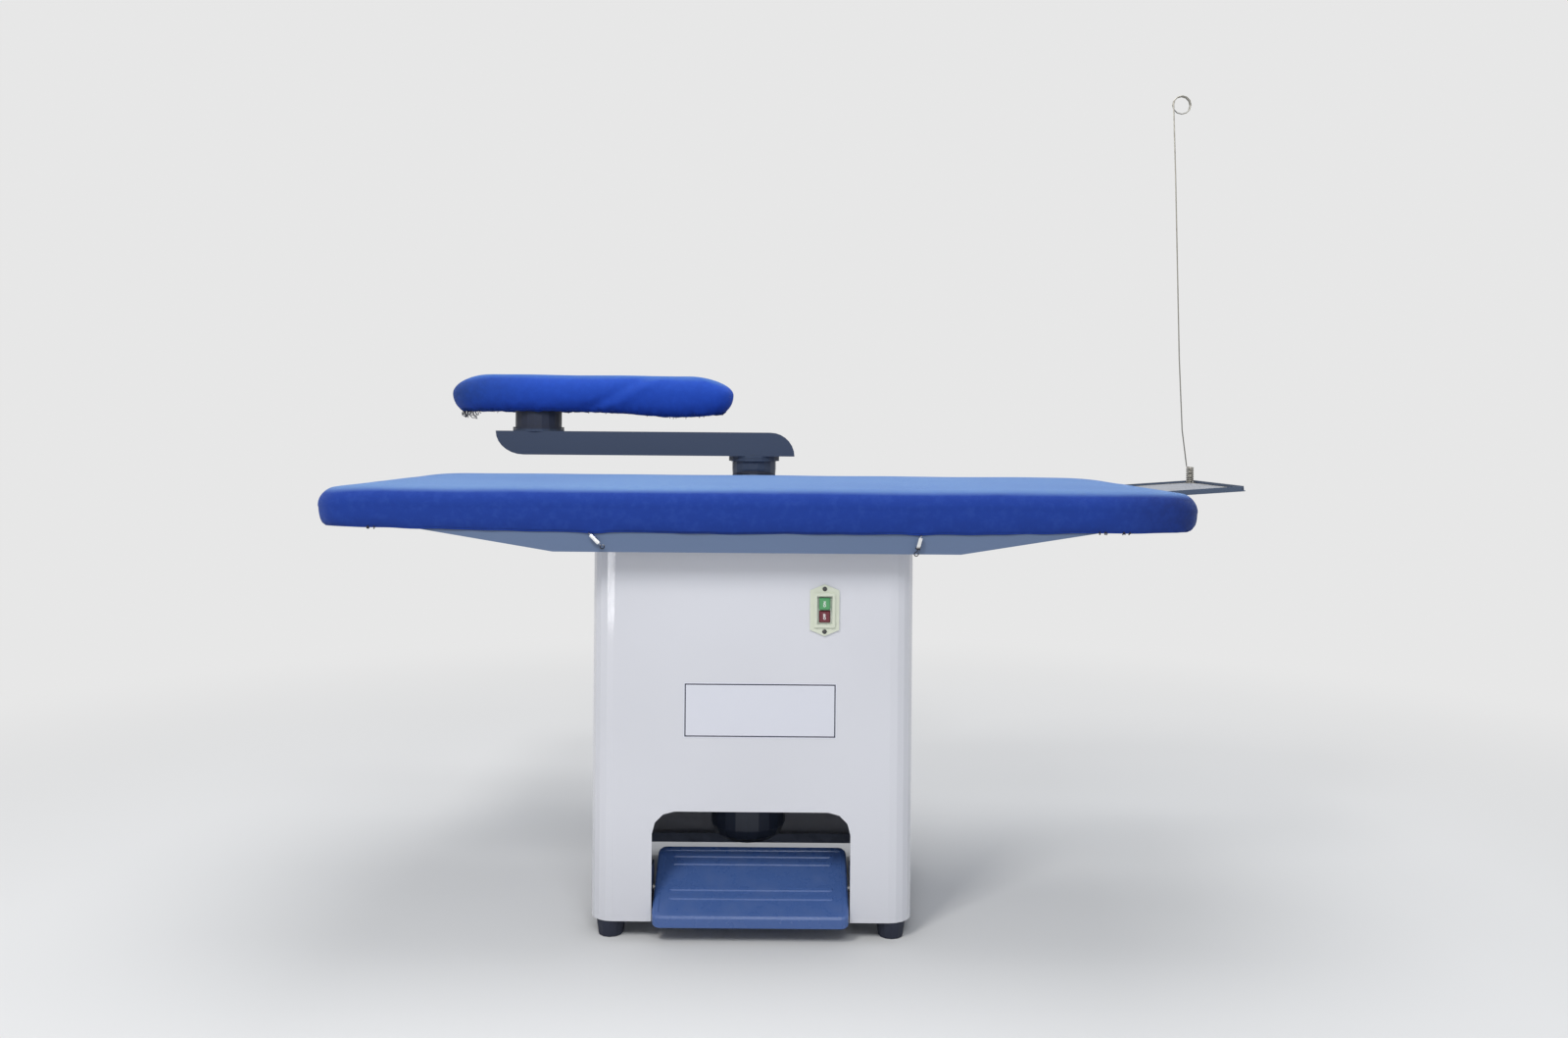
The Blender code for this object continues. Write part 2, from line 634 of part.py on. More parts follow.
def combine(base, tool, operation):
    """Exact Boolean of two closed bodies."""
    holders = []
    for label, mesh in (("base", base), ("tool", tool)):
        data = bpy.data.meshes.new(label)
        mesh.to_mesh(data)
        mesh.free()
        holder = bpy.data.objects.new(label, data)
        bpy.context.scene.collection.objects.link(holder)
        holders.append(holder)
    body, cutter = holders
    cutter.hide_render = True
    cutter.display_type = "WIRE"
    modifier = body.modifiers.new("cut", "BOOLEAN")
    modifier.operation = operation
    modifier.solver = "EXACT"
    modifier.object = cutter
    result = bmesh.new()
    result.from_mesh(evaluated_mesh(body))
    for holder in holders:
        bpy.data.objects.remove(holder, do_unlink=True)
    return result


def cut(base, *tools):
    """Base with every tool taken away."""
    for tool in tools:
        base = combine(base, tool, "DIFFERENCE")
    return base


def fused(base, *tools):
    """Base and tools as one body."""
    for tool in tools:
        base = combine(base, tool, "UNION")
    return base


def placed(mesh, location=(0, 0, 0), turn=UPRIGHT):
    """Mesh turned first, then moved to its place."""
    bmesh.ops.transform(mesh, matrix=Matrix.Translation(location) @ turn, verts=mesh.verts[:])
    return mesh


def piece(name, mesh, look, body="table", smooth=SHEET_SMOOTH):
    """Named object with its own material and its origin on its body's pivot."""
    pivot = Vector(PIVOTS[body])
    bmesh.ops.transform(mesh, matrix=Matrix.Translation(-pivot), verts=mesh.verts[:])
    data = bpy.data.meshes.new(name)
    mesh.to_mesh(data)
    mesh.free()
    data.shade_smooth()
    data.set_sharp_from_angle(angle=smooth)
    data.materials.append(finish(name, *look))
    item = bpy.data.objects.new(name, data)
    bpy.context.scene.collection.objects.link(item)
    item.location = pivot
    return item


def spread(start, end, steps):
    """Evenly spaced points from start up to but not including end."""
    shares = [i / steps for i in range(steps)]
    return [(start[0] + (end[0] - start[0]) * s, start[1] + (end[1] - start[1]) * s) for s in shares]


def board_outline(inset, end_stop=0):
    """Board plan at an inset, with points along its straight sides too."""
    radius = max(BOARD_CORNER - inset, MIN_RING_CORNER)
    length = BOARD_LENGTH - (inset + end_stop) * 2
    depth = BOARD_DEPTH - inset * 2
    corners = rounded_rectangle(length, depth, radius, steps=BOARD_CORNER_STEPS)
    count = BOARD_CORNER_STEPS + 1
    outline = []
    for side, steps in enumerate((BOARD_END_STEPS, BOARD_SIDE_STEPS) * 2):
        outline += corners[side * count : side * count + count - 1]
        tail = corners[side * count + count - 1]
        after = corners[(side * count + count) % len(corners)]
        run = (BOARD_SIDE_STEPS, BOARD_END_STEPS)[side % 2]
        outline += spread(tail, after, run)
    return outline


def board_rings(offset, lower_drop, bowed):
    """Rings of the cushioned board's surface, from its lower edge to its middle."""
    radius = COVER_EDGE_RADIUS
    places = [(HEM_TUCK * (lower_drop / HEM_DROP) ** 2 + offset, lower_drop)]
    middle_drop = (BOARD_CROWN + radius + lower_drop) / 2
    places.append((HEM_TUCK * (middle_drop / HEM_DROP) ** 4 + offset, middle_drop))
    for i in range(EDGE_ROUND_STEPS + 1):
        angle = math.radians(90 * i / EDGE_ROUND_STEPS)
        inset = radius - (radius - offset) * math.cos(angle)
        places.append((inset, BOARD_CROWN + radius - (radius - offset) * math.sin(angle)))
    span = BOARD_DEPTH / 2 - radius
    for inset_share, height_share in zip(CROWN_INSET_SHARES, CROWN_HEIGHT_SHARES):
        places.append((radius + span * inset_share, BOARD_CROWN * (1 - height_share) + offset))
    rings = []
    for number, (inset, drop) in enumerate(places):
        height = BOARD_TOP - drop
        ring_points = []
        for x, y in board_outline(inset):
            lift = 0
            if bowed and number == 0:
                lift = HEM_RISE_AT_ENDS * (2 * x / BOARD_LENGTH) ** 2
            elif number > 1:
                into_end = abs(x) - (BOARD_LENGTH / 2 - BOARD_END_DROOP_REACH)
                lift = -BOARD_END_DROOP * max(0, into_end / BOARD_END_DROOP_REACH) ** 2
            ring_points.append((x, y, height + lift))
        rings.append(ring_points)
    return rings


def elbow_slot(clearance, top_only=False):
    """Arched block that clears the elbow through the board's back edge."""
    half = ELBOW_MOUTH_RADIUS + clearance
    centre_height = ELBOW_MOUTH_HEIGHT
    outline = arc((0, centre_height), half, 0, 180, ROUND_SIDES // 2)
    outline += [(-half, PAN_BOTTOM), (half, PAN_BOTTOM)]
    depth = BOARD_DEPTH / 2 - PAN_HALF_DEPTH + CUT_OVERRUN * 2
    return placed(plate(outline, depth), (POST_X, BOARD_DEPTH / 2 + CUT_OVERRUN, 0), FRONT_VIEW)


def board_cover():
    """Blue cloth drawn over the felt, with a bowed hem below the pan's rim."""
    outside = board_rings(0, HEM_DROP, True)
    inside = board_rings(COVER_CLOTH, HEM_DROP, True)
    cloth = skin(outside[::-1] + inside)
    cloth = cut(cloth, elbow_slot(COVER_CLOTH + ELBOW_SLOT_CLEARANCE))
    piece("board_cover", cloth, BOARD_CLOTH, smooth=SOFT_SMOOTH)


def board_padding():
    """Felt lid over the grid, with a skirt down the pan's sides."""
    outside = board_rings(COVER_CLOTH + FELT_GAP, FELT_SKIRT_DROP, False)
    inset = PAN_INSET - FIT_GAP
    ceiling = PAN_RIM + FIT_GAP * 2 + GRID_SHEET
    floor = BOARD_TOP - FELT_SKIRT_DROP
    outline = board_outline(inset, PAN_END_STOP)
    inside = [[(x, y, z) for x, y in outline] for z in (ceiling, floor)]
    felt = skin(outside[::-1] + inside[::-1])
    felt = cut(felt, elbow_slot(ELBOW_SLOT_CLEARANCE))
    piece("board_padding", felt, FELT, smooth=SOFT_SMOOTH)


def work_grid():
    """Slotted sheet that lets the suction through under the felt."""
    length, depth = PAN_HALF_LENGTH * 2, PAN_HALF_DEPTH * 2
    pitch_x = GRID_SLOT_LENGTH + GRID_SLOT_RIB_X
    pitch_y = GRID_SLOT_WIDTH + GRID_SLOT_RIB_Y
    columns = int((length - GRID_MARGIN * 2 + GRID_SLOT_RIB_X) / pitch_x)
    rows = int((depth - GRID_MARGIN * 2 + GRID_SLOT_RIB_Y) / pitch_y)
    slots = []
    for i in range(columns):
        for j in range(rows):
            x = (i - (columns - 1) / 2) * pitch_x
            y = (j - (rows - 1) / 2) * pitch_y
            half_x, half_y = GRID_SLOT_LENGTH / 2, GRID_SLOT_WIDTH / 2
            slots.append(rectangle(x - half_x, y - half_y, x + half_x, y + half_y))
    outline = rounded_rectangle(length, depth, PAN_CORNER, steps=BOARD_CORNER_STEPS)
    sheet = plate(outline, GRID_SHEET, slots)
    piece("work_grid", placed(sheet, (0, 0, PAN_RIM + FIT_GAP)), ZINC)


def grid_bearers():
    """Upright bars welded across the pan that hold the grid level."""
    bars = []
    span = (PAN_HALF_DEPTH - PAN_SHEET / 2) * 2
    for place in GRID_BEARER_PLACES:
        height = GRID_BEARER_HEIGHT - FIT_GAP
        bar = plate(rectangle(-span / 2, 0, span / 2, height), GRID_BEARER_SHEET)
        x = place * GRID_BEARER_SPACING - GRID_BEARER_SHEET / 2
        bars.append(placed(bar, (x, 0, PAN_RIM - GRID_BEARER_HEIGHT), SIDE_VIEW))
    return bars


def pan_block(wall, top):
    """Solid of the pan's outside, or of its inside when wall is the sheet."""
    half = PAN_HALF_LENGTH - wall
    flat = PAN_FLAT_LENGTH / 2 - wall / 2
    end_floor = PAN_RIM - PAN_END_WALL + wall
    floor = PAN_BOTTOM + wall
    side = [(half, end_floor), (half, top), (-half, top), (-half, end_floor), (-flat, floor)]
    depth = (PAN_HALF_DEPTH - wall) * 2
    wedge = placed(plate([(flat, floor)] + side, depth), (0, depth / 2, 0), FRONT_VIEW)
    height = top - floor + CUT_OVERRUN * 2
    outline = rounded_rectangle(half * 2, depth, PAN_CORNER - wall, steps=BOARD_CORNER_STEPS)
    plan = plate(outline, height)
    return combine(wedge, placed(plan, (0, 0, floor - CUT_OVERRUN)), "INTERSECT")


def vacuum_pan():
    """Folded steel pan whose floor rises to both ends."""
    pan = cut(pan_block(0, PAN_RIM), pan_block(PAN_SHEET, PAN_RIM + CUT_OVERRUN))
    hole_depth = PAN_SHEET + CUT_OVERRUN * 2
    throat = pin(DUCT_RADIUS - DUCT_SHEET, hole_depth, ROUND_SIDES)
    throat = placed(throat, (BLOWER_X, BLOWER_Y, PAN_BOTTOM - CUT_OVERRUN))
    mouth = pin(ELBOW_MOUTH_RADIUS + FIT_GAP, hole_depth, ELBOW_SIDES)
    mouth_height = ELBOW_MOUTH_HEIGHT
    mouth = placed(mouth, (POST_X, PAN_HALF_DEPTH + CUT_OVERRUN, mouth_height), FRONT_VIEW)
    lug_hole = pin(BOLT_RADIUS + FIT_GAP, hole_depth)
    lug_hole = placed(lug_hole, (*lug_bolt_place(), PAN_BOTTOM - CUT_OVERRUN))
    tray_holes = []
    for frame in tray_bolt_frames():
        hole = pin(BOLT_RADIUS + FIT_GAP, hole_depth + FIT_GAP)
        tray_holes.append(placed(placed(hole, (0, 0, -CUT_OVERRUN)), turn=frame))
    pan = fused(cut(pan, throat, mouth, lug_hole, *tray_holes), *grid_bearers())
    piece("vacuum_pan", pan, SLATE_PAINT)


def cover_hooks():
    """Wire hooks with barrels that draw the hem down over the pan."""
    hem_face = BOARD_DEPTH / 2 - HEM_TUCK
    reach = HOOK_BARREL_RADIUS + FIT_GAP
    half = HOOK_WIRE_LENGTH / 2
    lift = HEM_RISE_AT_ENDS * (2 * (HOOK_HALF_SPACING - half) / BOARD_LENGTH) ** 2
    under_hem = BOARD_TOP - HEM_DROP + lift - FIT_GAP - HOOK_WIRE_RADIUS
    for label, side, tilt in zip(("left", "right"), (-1, 1), HOOK_TILTS):
        barrel = pin(HOOK_BARREL_RADIUS, HOOK_BARREL_LENGTH)
        barrel = placed(barrel, (0, 0, -HOOK_BARREL_LENGTH / 2))
        eye = arc((0, -half - HOOK_EYE_RADIUS), HOOK_EYE_RADIUS, 90, 400, SMALL_SIDES)
        points = [(0, reach + COVER_CLOTH, half), (0, 0, half), (0, 0, -half)]
        points += [(x, 0, z) for x, z in eye[1:]]
        hook = fused(tube(points, HOOK_WIRE_RADIUS), barrel)
        height = under_hem - half * math.cos(math.radians(tilt))
        turn = Matrix.Rotation(math.radians(tilt), 4, "Y")
        hook = placed(hook, (side * HOOK_HALF_SPACING, -hem_face - reach, height), turn)
        piece("cover_hook_" + label, hook, BRIGHT_STEEL, smooth=TURNED_SMOOTH)


def cabinet_plan(inset, rear):
    """Front half outline of the cabinet: right side, round corners, left side."""
    left, right = CABINET_LEFT + inset, CABINET_RIGHT - inset
    front = CABINET_FRONT + inset
    radius = CABINET_CORNER - inset
    path = [(left, rear)]
    path += arc((left + radius, front + radius), radius, 180, 270, CORNER_STEPS + 2)
    path += arc((right - radius, front + radius), radius, 270, 360, CORNER_STEPS + 2)
    return path + [(right, rear)]


def button_places():
    """Middles of the two buttons' heights, upper one first."""
    step = (BUTTON_HEIGHT + BUTTON_SPLIT) / 2
    return (SWITCH_HEIGHT + step, SWITCH_HEIGHT - step)


def front_block(width, height, x, z, near, far):
    """Box seen from the front, between two depths."""
    outline = rectangle(-width / 2, -height / 2, width / 2, height / 2)
    return placed(plate(outline, far - near), (x, far, z), FRONT_VIEW)


def switch_screw_heights():
    """Heights of the screws at the switch plate's two tips."""
    reach = SWITCH_PLATE_HEIGHT / 2 - SWITCH_SCREW_INSET
    return (SWITCH_HEIGHT + reach, SWITCH_HEIGHT - reach)


def panel_screw_places():
    """Places of the rear panel's screws along both returns."""
    reach = CABINET_WIDTH / 2 - CABINET_RETURN / 2
    height = CABINET_TOP - FOOT_HEIGHT
    places = []
    for row in range(REAR_SCREW_ROWS):
        z = FOOT_HEIGHT + height * (row + 0.5) / REAR_SCREW_ROWS
        places += [(CABINET_CENTRE_X + side * reach, z) for side in (-1, 1)]
    return places


def cabinet():
    """Folded front and sides, with the pedal opening and the switch cut-out."""
    outer = cabinet_plan(0, CABINET_REAR)
    inner = cabinet_plan(CABINET_SHEET, CABINET_REAR - CABINET_SHEET)
    lip_left, lip_right = CABINET_LEFT + CABINET_RETURN, CABINET_RIGHT - CABINET_RETURN
    lips = [(lip_right, CABINET_REAR), (lip_right, CABINET_REAR - CABINET_SHEET)]
    lips_back = [(lip_left, CABINET_REAR - CABINET_SHEET), (lip_left, CABINET_REAR)]
    wrap = plate(outer + lips + inner[::-1] + lips_back, CABINET_TOP - FOOT_HEIGHT)
    wrap = placed(wrap, (0, 0, FOOT_HEIGHT))
    near = CABINET_FRONT - CUT_OVERRUN
    far = CABINET_FRONT + CABINET_SHEET + CUT_OVERRUN
    drop = OPENING_TOP - FOOT_HEIGHT + OPENING_CORNER * 2
    doorway = plate(rounded_rectangle(OPENING_WIDTH, drop, OPENING_CORNER), far - near)
    doorway = placed(doorway, (CABINET_CENTRE_X, far, OPENING_TOP - drop / 2), FRONT_VIEW)
    width, height = SWITCH_BODY_WIDTH + FIT_GAP * 2, SWITCH_BODY_HEIGHT + FIT_GAP * 2
    window = front_block(width, height, SWITCH_X, SWITCH_HEIGHT, near, far)
    cutters = [doorway, window]
    bore = SCREW_SHANK_RADIUS + FIT_GAP
    for z in switch_screw_heights():
        hole = pin(bore, far - near)
        cutters.append(placed(hole, (SWITCH_X, far, z), FRONT_VIEW))
    for x, z in panel_screw_places():
        hole = pin(bore, CABINET_SHEET + CUT_OVERRUN * 2)
        cutters.append(placed(hole, (x, CABINET_REAR + CUT_OVERRUN, z), FRONT_VIEW))
    cutters.append(lug_block(FIT_GAP))
    piece("cabinet", cut(wrap, *cutters), CABINET_PAINT)


def lug_block(gap):
    """Tongue under the pan through the cabinet's left side, grown by a gap."""
    half = LUG_WIDTH / 2 + gap
    left = CABINET_LEFT - LUG_LENGTH + half
    right = CABINET_LEFT + LUG_OVERLAP + gap
    y = CABINET_FRONT + LUG_SETBACK
    outline = [(right, y - half), (right, y + half)]
    outline += arc((left, y), half, 90, 270, CORNER_STEPS * 2)
    thickness = LUG_THICKNESS + gap * 2
    return placed(plate(outline, thickness), (0, 0, PAN_BOTTOM - FIT_GAP - LUG_THICKNESS - gap))


def lug_bolt_place():
    """Plan place of the bolt near the fixing lug's round end."""
    return (CABINET_LEFT - LUG_LENGTH / 2, CABINET_FRONT + LUG_SETBACK)


def fixing_lug():
    """Tongue that hangs the cabinet from the pan."""
    x, y = lug_bolt_place()
    bottom = PAN_BOTTOM - FIT_GAP - LUG_THICKNESS
    hole = pin(BOLT_RADIUS + FIT_GAP, LUG_THICKNESS + CUT_OVERRUN * 2)
    lug = cut(lug_block(0), placed(hole, (x, y, bottom - CUT_OVERRUN)))
    piece("fixing_lug", lug, ZINC)


def rear_panel():
    """Sheet across the back, with exhaust slots and cooling slots."""
    half = CABINET_WIDTH / 2 - PANEL_EDGE_INSET
    top = CABINET_TOP - PANEL_EDGE_INSET
    outline = rectangle(CABINET_CENTRE_X - half, FOOT_HEIGHT, CABINET_CENTRE_X + half, top)
    holes = []
    left, right = scroll_outlet()
    pitch = REAR_SLOT_HEIGHT + REAR_SLOT_RIB
    first = SCROLL_BOTTOM + SCROLL_HEIGHT / 2 - pitch * (REAR_EXHAUST_SLOTS - 1) / 2
    for i in range(REAR_EXHAUST_SLOTS):
        z = first + i * pitch - REAR_SLOT_HEIGHT / 2
        holes.append(rectangle(left, z, right, z + REAR_SLOT_HEIGHT))
    for i in range(REAR_COOLING_SLOTS):
        z = REAR_COOLING_BOTTOM + i * pitch
        x = CABINET_CENTRE_X - REAR_COOLING_SLOT_WIDTH / 2
        holes.append(rectangle(x, z, x + REAR_COOLING_SLOT_WIDTH, z + REAR_SLOT_HEIGHT))
    bore = SCREW_SHANK_RADIUS + FIT_GAP
    holes += [circle(bore, SMALL_SIDES, place) for place in panel_screw_places()]
    gland = (CABINET_LEFT + GLAND_FROM_SIDE, GLAND_HEIGHT)
    holes.append(circle(GLAND_THREAD_RADIUS + FIT_GAP, SMALL_SIDES, gland))
    sheet = plate(outline, CABINET_SHEET, holes)
    y = REAR_PANEL_FRONT + CABINET_SHEET
    piece("rear_panel", placed(sheet, (0, y, 0), FRONT_VIEW), CABINET_PAINT)


def panel_screws():
    """Screws of the rear panel and of the switch plate."""
    back = REAR_PANEL_FRONT + CABINET_SHEET + FIT_GAP
    front = CABINET_FRONT - SWITCH_PLATE_SHEET - FIT_GAP * 2
    for label, (x, z) in zip(("left", "right"), panel_screw_places()):
        fastener = placed(screw(), (x, back, z), REAR_VIEW)
        piece("rear_screw_" + label, fastener, ZINC, smooth=TURNED_SMOOTH)
    for label, z in zip(("upper", "lower"), switch_screw_heights()):
        fastener = placed(screw(), (SWITCH_X, front, z), FRONT_VIEW)
        piece("switch_screw_" + label, fastener, ZINC, smooth=TURNED_SMOOTH)


def cable_gland():
    """Gland clamped through the rear panel, empty, where the supply goes in."""
    clamp = -CABINET_SHEET - FIT_GAP * 2
    thread, wide = GLAND_THREAD_RADIUS, GLAND_RADIUS
    profile = [(GLAND_BORE, clamp - GLAND_NUT_HEIGHT), (wide, clamp - GLAND_NUT_HEIGHT)]
    profile += [(wide, clamp), (thread, clamp), (thread, 0), (wide, 0)]
    profile += [(wide, GLAND_OUTSIDE * GLAND_CONE_SHARE), (thread, GLAND_OUTSIDE)]
    profile += [(GLAND_BORE, GLAND_OUTSIDE)]
    y = REAR_PANEL_FRONT + CABINET_SHEET + FIT_GAP
    x = CABINET_LEFT + GLAND_FROM_SIDE
    gland = placed(turned(profile, SMALL_SIDES), (x, y, GLAND_HEIGHT), REAR_VIEW)
    piece("cable_gland", gland, BLACK_PLASTIC, smooth=TURNED_SMOOTH)


def foot_places():
    """Plan places of the four feet."""
    ys = (CABINET_FRONT + FOOT_FROM_FRONT, CABINET_REAR - FOOT_FROM_REAR)
    return [(CABINET_CENTRE_X + s * (CABINET_WIDTH / 2 - FOOT_FROM_SIDE), y) for s in (-1, 1) for y in ys]


def base_frame():
    """Folded frame inside the cabinet's foot, with an upstand round its inside."""
    wall = CABINET_SHEET + FIT_GAP
    left, right = CABINET_LEFT + wall, CABINET_RIGHT - wall
    rear = CABINET_REAR - wall
    outer = cabinet_plan(wall, rear)
    front = CABINET_FRONT + wall
    inner_left, inner_right = left + FRAME_RAIL_WIDTH, right - FRAME_RAIL_WIDTH
    inner_rear = rear - FRAME_REAR_WIDTH
    turn = len(outer) // 2
    plan = outer[turn:] + outer[:turn]
    plan += [(inner_left, front), (inner_left, inner_rear)]
    plan += [(inner_right, inner_rear), (inner_right, front)]
    sheet = placed(plate(plan, FRAME_SHEET), (0, 0, FOOT_HEIGHT))
    fold = FRAME_SHEET
    start = front + FRAME_RAIL_WIDTH / 2
    lip = [(inner_left - fold, start), (inner_left, start), (inner_left, inner_rear)]
    lip += [(inner_right, inner_rear), (inner_right, start), (inner_right + fold, start)]
    lip += [(inner_right + fold, inner_rear + fold), (inner_left - fold, inner_rear + fold)]
    upstand = placed(plate(lip, FRAME_SHEET / 2 + FRAME_UPSTAND), (0, 0, FOOT_HEIGHT + fold / 2))
    frame = fused(sheet, upstand)
    holes = []
    for x, y in foot_places():
        hole = pin(FOOT_STUD_RADIUS + FIT_GAP, FRAME_SHEET + CUT_OVERRUN * 2, FOOT_SIDES)
        holes.append(placed(hole, (x, y, FOOT_HEIGHT - CUT_OVERRUN)))
    piece("base_frame", cut(frame, *holes), DARK_PAINT)


def feet():
    """Rubber feet, each moulded on a stud with its nut above the frame."""
    top = FOOT_HEIGHT - FIT_GAP
    above = FOOT_HEIGHT + FRAME_SHEET + FIT_GAP
    profile = [(0, 0), (FOOT_BASE_RADIUS - FOOT_EDGE_ROUND, 0)]
    profile += [(FOOT_BASE_RADIUS, FOOT_EDGE_ROUND), (FOOT_TOP_RADIUS, top * FOOT_TAPER_SHARE)]
    profile += [(FOOT_TOP_RADIUS, top), (FOOT_STUD_RADIUS, top), (FOOT_STUD_RADIUS, above)]
    profile += [(FOOT_NUT_RADIUS, above), (FOOT_NUT_RADIUS, above + NUT_HEIGHT)]
    profile += [(0, above + NUT_HEIGHT)]
    labels = ("front_left", "rear_left", "front_right", "rear_right")
    for label, (x, y) in zip(labels, foot_places()):
        foot = placed(turned(profile, FOOT_SIDES), (x, y, 0))
        piece("foot_" + label, foot, BLACK_RUBBER, smooth=TURNED_SMOOTH)


def switch_plate():
    """Pointed cream plate with a raised frame round the buttons."""
    half, tip = SWITCH_PLATE_WIDTH / 2, SWITCH_PLATE_HEIGHT / 2
    shoulder = SWITCH_PLATE_SHOULDER / 2
    outline = [(half, -shoulder), (half, shoulder), (0, tip)]
    outline += [(-half, shoulder), (-half, -shoulder), (0, -tip)]
    back = (SWITCH_X, CABINET_FRONT - FIT_GAP, SWITCH_HEIGHT)
    sheet = placed(plate(outline, SWITCH_PLATE_SHEET), back, FRONT_VIEW)
    thickness = SWITCH_PLATE_SHEET / 2 + SWITCH_FRAME_PROUD
    frame = plate(rounded_rectangle(SWITCH_FRAME_WIDTH, SWITCH_FRAME_HEIGHT, BUTTON_ROUND), thickness)
    y = CABINET_FRONT - FIT_GAP - SWITCH_PLATE_SHEET / 2
    frame = placed(frame, (SWITCH_X, y, SWITCH_HEIGHT), FRONT_VIEW)
    near = y - thickness - CUT_OVERRUN
    far = CABINET_FRONT + CUT_OVERRUN
    recess = front_block(SWITCH_RECESS_WIDTH, SWITCH_RECESS_HEIGHT, SWITCH_X, SWITCH_HEIGHT, near, far)
    cutters = [recess]
    for z in switch_screw_heights():
        hole = pin(SCREW_SHANK_RADIUS + FIT_GAP, far - near)
        cutters.append(placed(hole, (SWITCH_X, far, z), FRONT_VIEW))
    piece("switch_plate", cut(fused(sheet, frame), *cutters), CREAM_PLASTIC)


def button_front():
    """Depth of a raised button's face."""
    return CABINET_FRONT - FIT_GAP - SWITCH_PLATE_SHEET - SWITCH_FRAME_PROUD - BUTTON_PROUD


def switch_body():
    """Starter block behind the plate, with a pocket for each button."""
    near, far = CABINET_FRONT, CABINET_FRONT + SWITCH_BODY_DEPTH
    block = front_block(SWITCH_BODY_WIDTH, SWITCH_BODY_HEIGHT, SWITCH_X, SWITCH_HEIGHT, near, far)
    floor = button_front() + BUTTON_DEPTH + BUTTON_TRAVEL + FIT_GAP
    width, height = BUTTON_WIDTH + BUTTON_SIDE_GAP * 2, BUTTON_HEIGHT + BUTTON_SIDE_GAP * 2
    pockets = [front_block(width, height, SWITCH_X, z, near - CUT_OVERRUN, floor) for z in button_places()]
    piece("switch_body", cut(block, *pockets), BLACK_PLASTIC)


def buttons():
    """Green button standing out and red button held in."""
    names = ("on_button", "off_button")
    looks = (GREEN_PLASTIC, RED_PLASTIC)
    for name, look, z, sunk in zip(names, looks, button_places(), (0, BUTTON_TRAVEL)):
        rings = []
        for inset, depth in ((0, 0), (0, BUTTON_DEPTH - BUTTON_ROUND), (BUTTON_ROUND, BUTTON_DEPTH)):
            width, height = BUTTON_WIDTH - inset * 2, BUTTON_HEIGHT - inset * 2
            outline = rounded_rectangle(width, height, BUTTON_ROUND, steps=2)
            rings.append([(x, y, depth) for x, y in outline])
        y = button_front() + BUTTON_DEPTH + sunk
        piece(name, placed(skin(rings), (SWITCH_X, y, z), FRONT_VIEW), look, name)


def pedal_point(x, run, drop):
    """Point of the pedal's sloping top, moved straight down by a drop."""
    along = run / PEDAL_LENGTH
    y = PEDAL_FRONT + PEDAL_RUN * along
    z = PEDAL_FRONT_TOP + PEDAL_RISE * along - drop
    return (CABINET_CENTRE_X + x, y, z)


def pedal_ring(inset, drop):
    """Round-cornered outline on the pedal's slope."""
    middle = (0, PEDAL_LENGTH / 2)
    width, length = PEDAL_WIDTH - inset * 2, PEDAL_LENGTH - inset * 2
    radius = max(PEDAL_CORNER - inset, PEDAL_EDGE_ROUND)
    outline = rounded_rectangle(width, length, radius, middle)
    return [pedal_point(x, run, drop) for x, run in outline]


def pedal():
    """Pressed tread with folded edges, a sunk field and two pairs of beads."""
    step, border, sheet = PEDAL_BORDER_STEP, PEDAL_BORDER, PEDAL_SHEET
    rings = [pedal_ring(border + step, step), pedal_ring(border, 0)]
    rings += [pedal_ring(PEDAL_EDGE_ROUND, 0), pedal_ring(0, PEDAL_EDGE_ROUND)]
    rings += [pedal_ring(0, PEDAL_DROP), pedal_ring(sheet, PEDAL_DROP)]
    rings += [pedal_ring(sheet, PEDAL_EDGE_ROUND + sheet + step)]
    tread = skin(rings)
    beads = []
    half = PEDAL_WIDTH / 2 - PEDAL_BEAD_END_MARGIN
    for share in PEDAL_BEAD_SHARES:
        run = PEDAL_LENGTH * (1 - share)
        radius = PEDAL_BEAD_RADIUS
        tip = arc((half - radius, 0), radius, -90, 90, CORNER_STEPS)
        outline = tip + [(-x, -y) for x, y in tip]
        rings = []
        for i in range(CORNER_STEPS - 1):
            angle = math.radians(90 * i / (CORNER_STEPS - 1))
            shrink = 1 - math.cos(angle) if i else 0
            level = radius * PEDAL_BEAD_HEIGHT_SHARE * math.sin(angle)
            rings.append((radius * shrink, level))
        rings = [(0, -(step + sheet / 2))] + rings
        loops = []
        for inset, level in rings:
            loop = []
            for x, y in outline:
                side = math.copysign(half - radius, x)
                loop.append(pedal_point(side + (x - side) * (1 - inset / radius),
                                        run + y * (1 - inset / radius), step - level))
            loops.append(loop)
        beads.append(skin(loops))
    reach = PEDAL_WIDTH + CUT_OVERRUN * 2
    hole = placed(pin(AXLE_RADIUS + FIT_GAP, reach, AXLE_SIDES), turn=SIDE_VIEW)
    hole = placed(hole, (CABINET_CENTRE_X - reach / 2, AXLE_Y, AXLE_Z))
    piece("pedal", cut(fused(tread, *beads), hole), PEDAL_PAINT, "pedal")


def bracket_faces():
    """Inner face of each pedal bracket, left one first."""
    reach = PEDAL_WIDTH / 2 + BRACKET_GAP
    return (CABINET_CENTRE_X - reach, CABINET_CENTRE_X + reach)


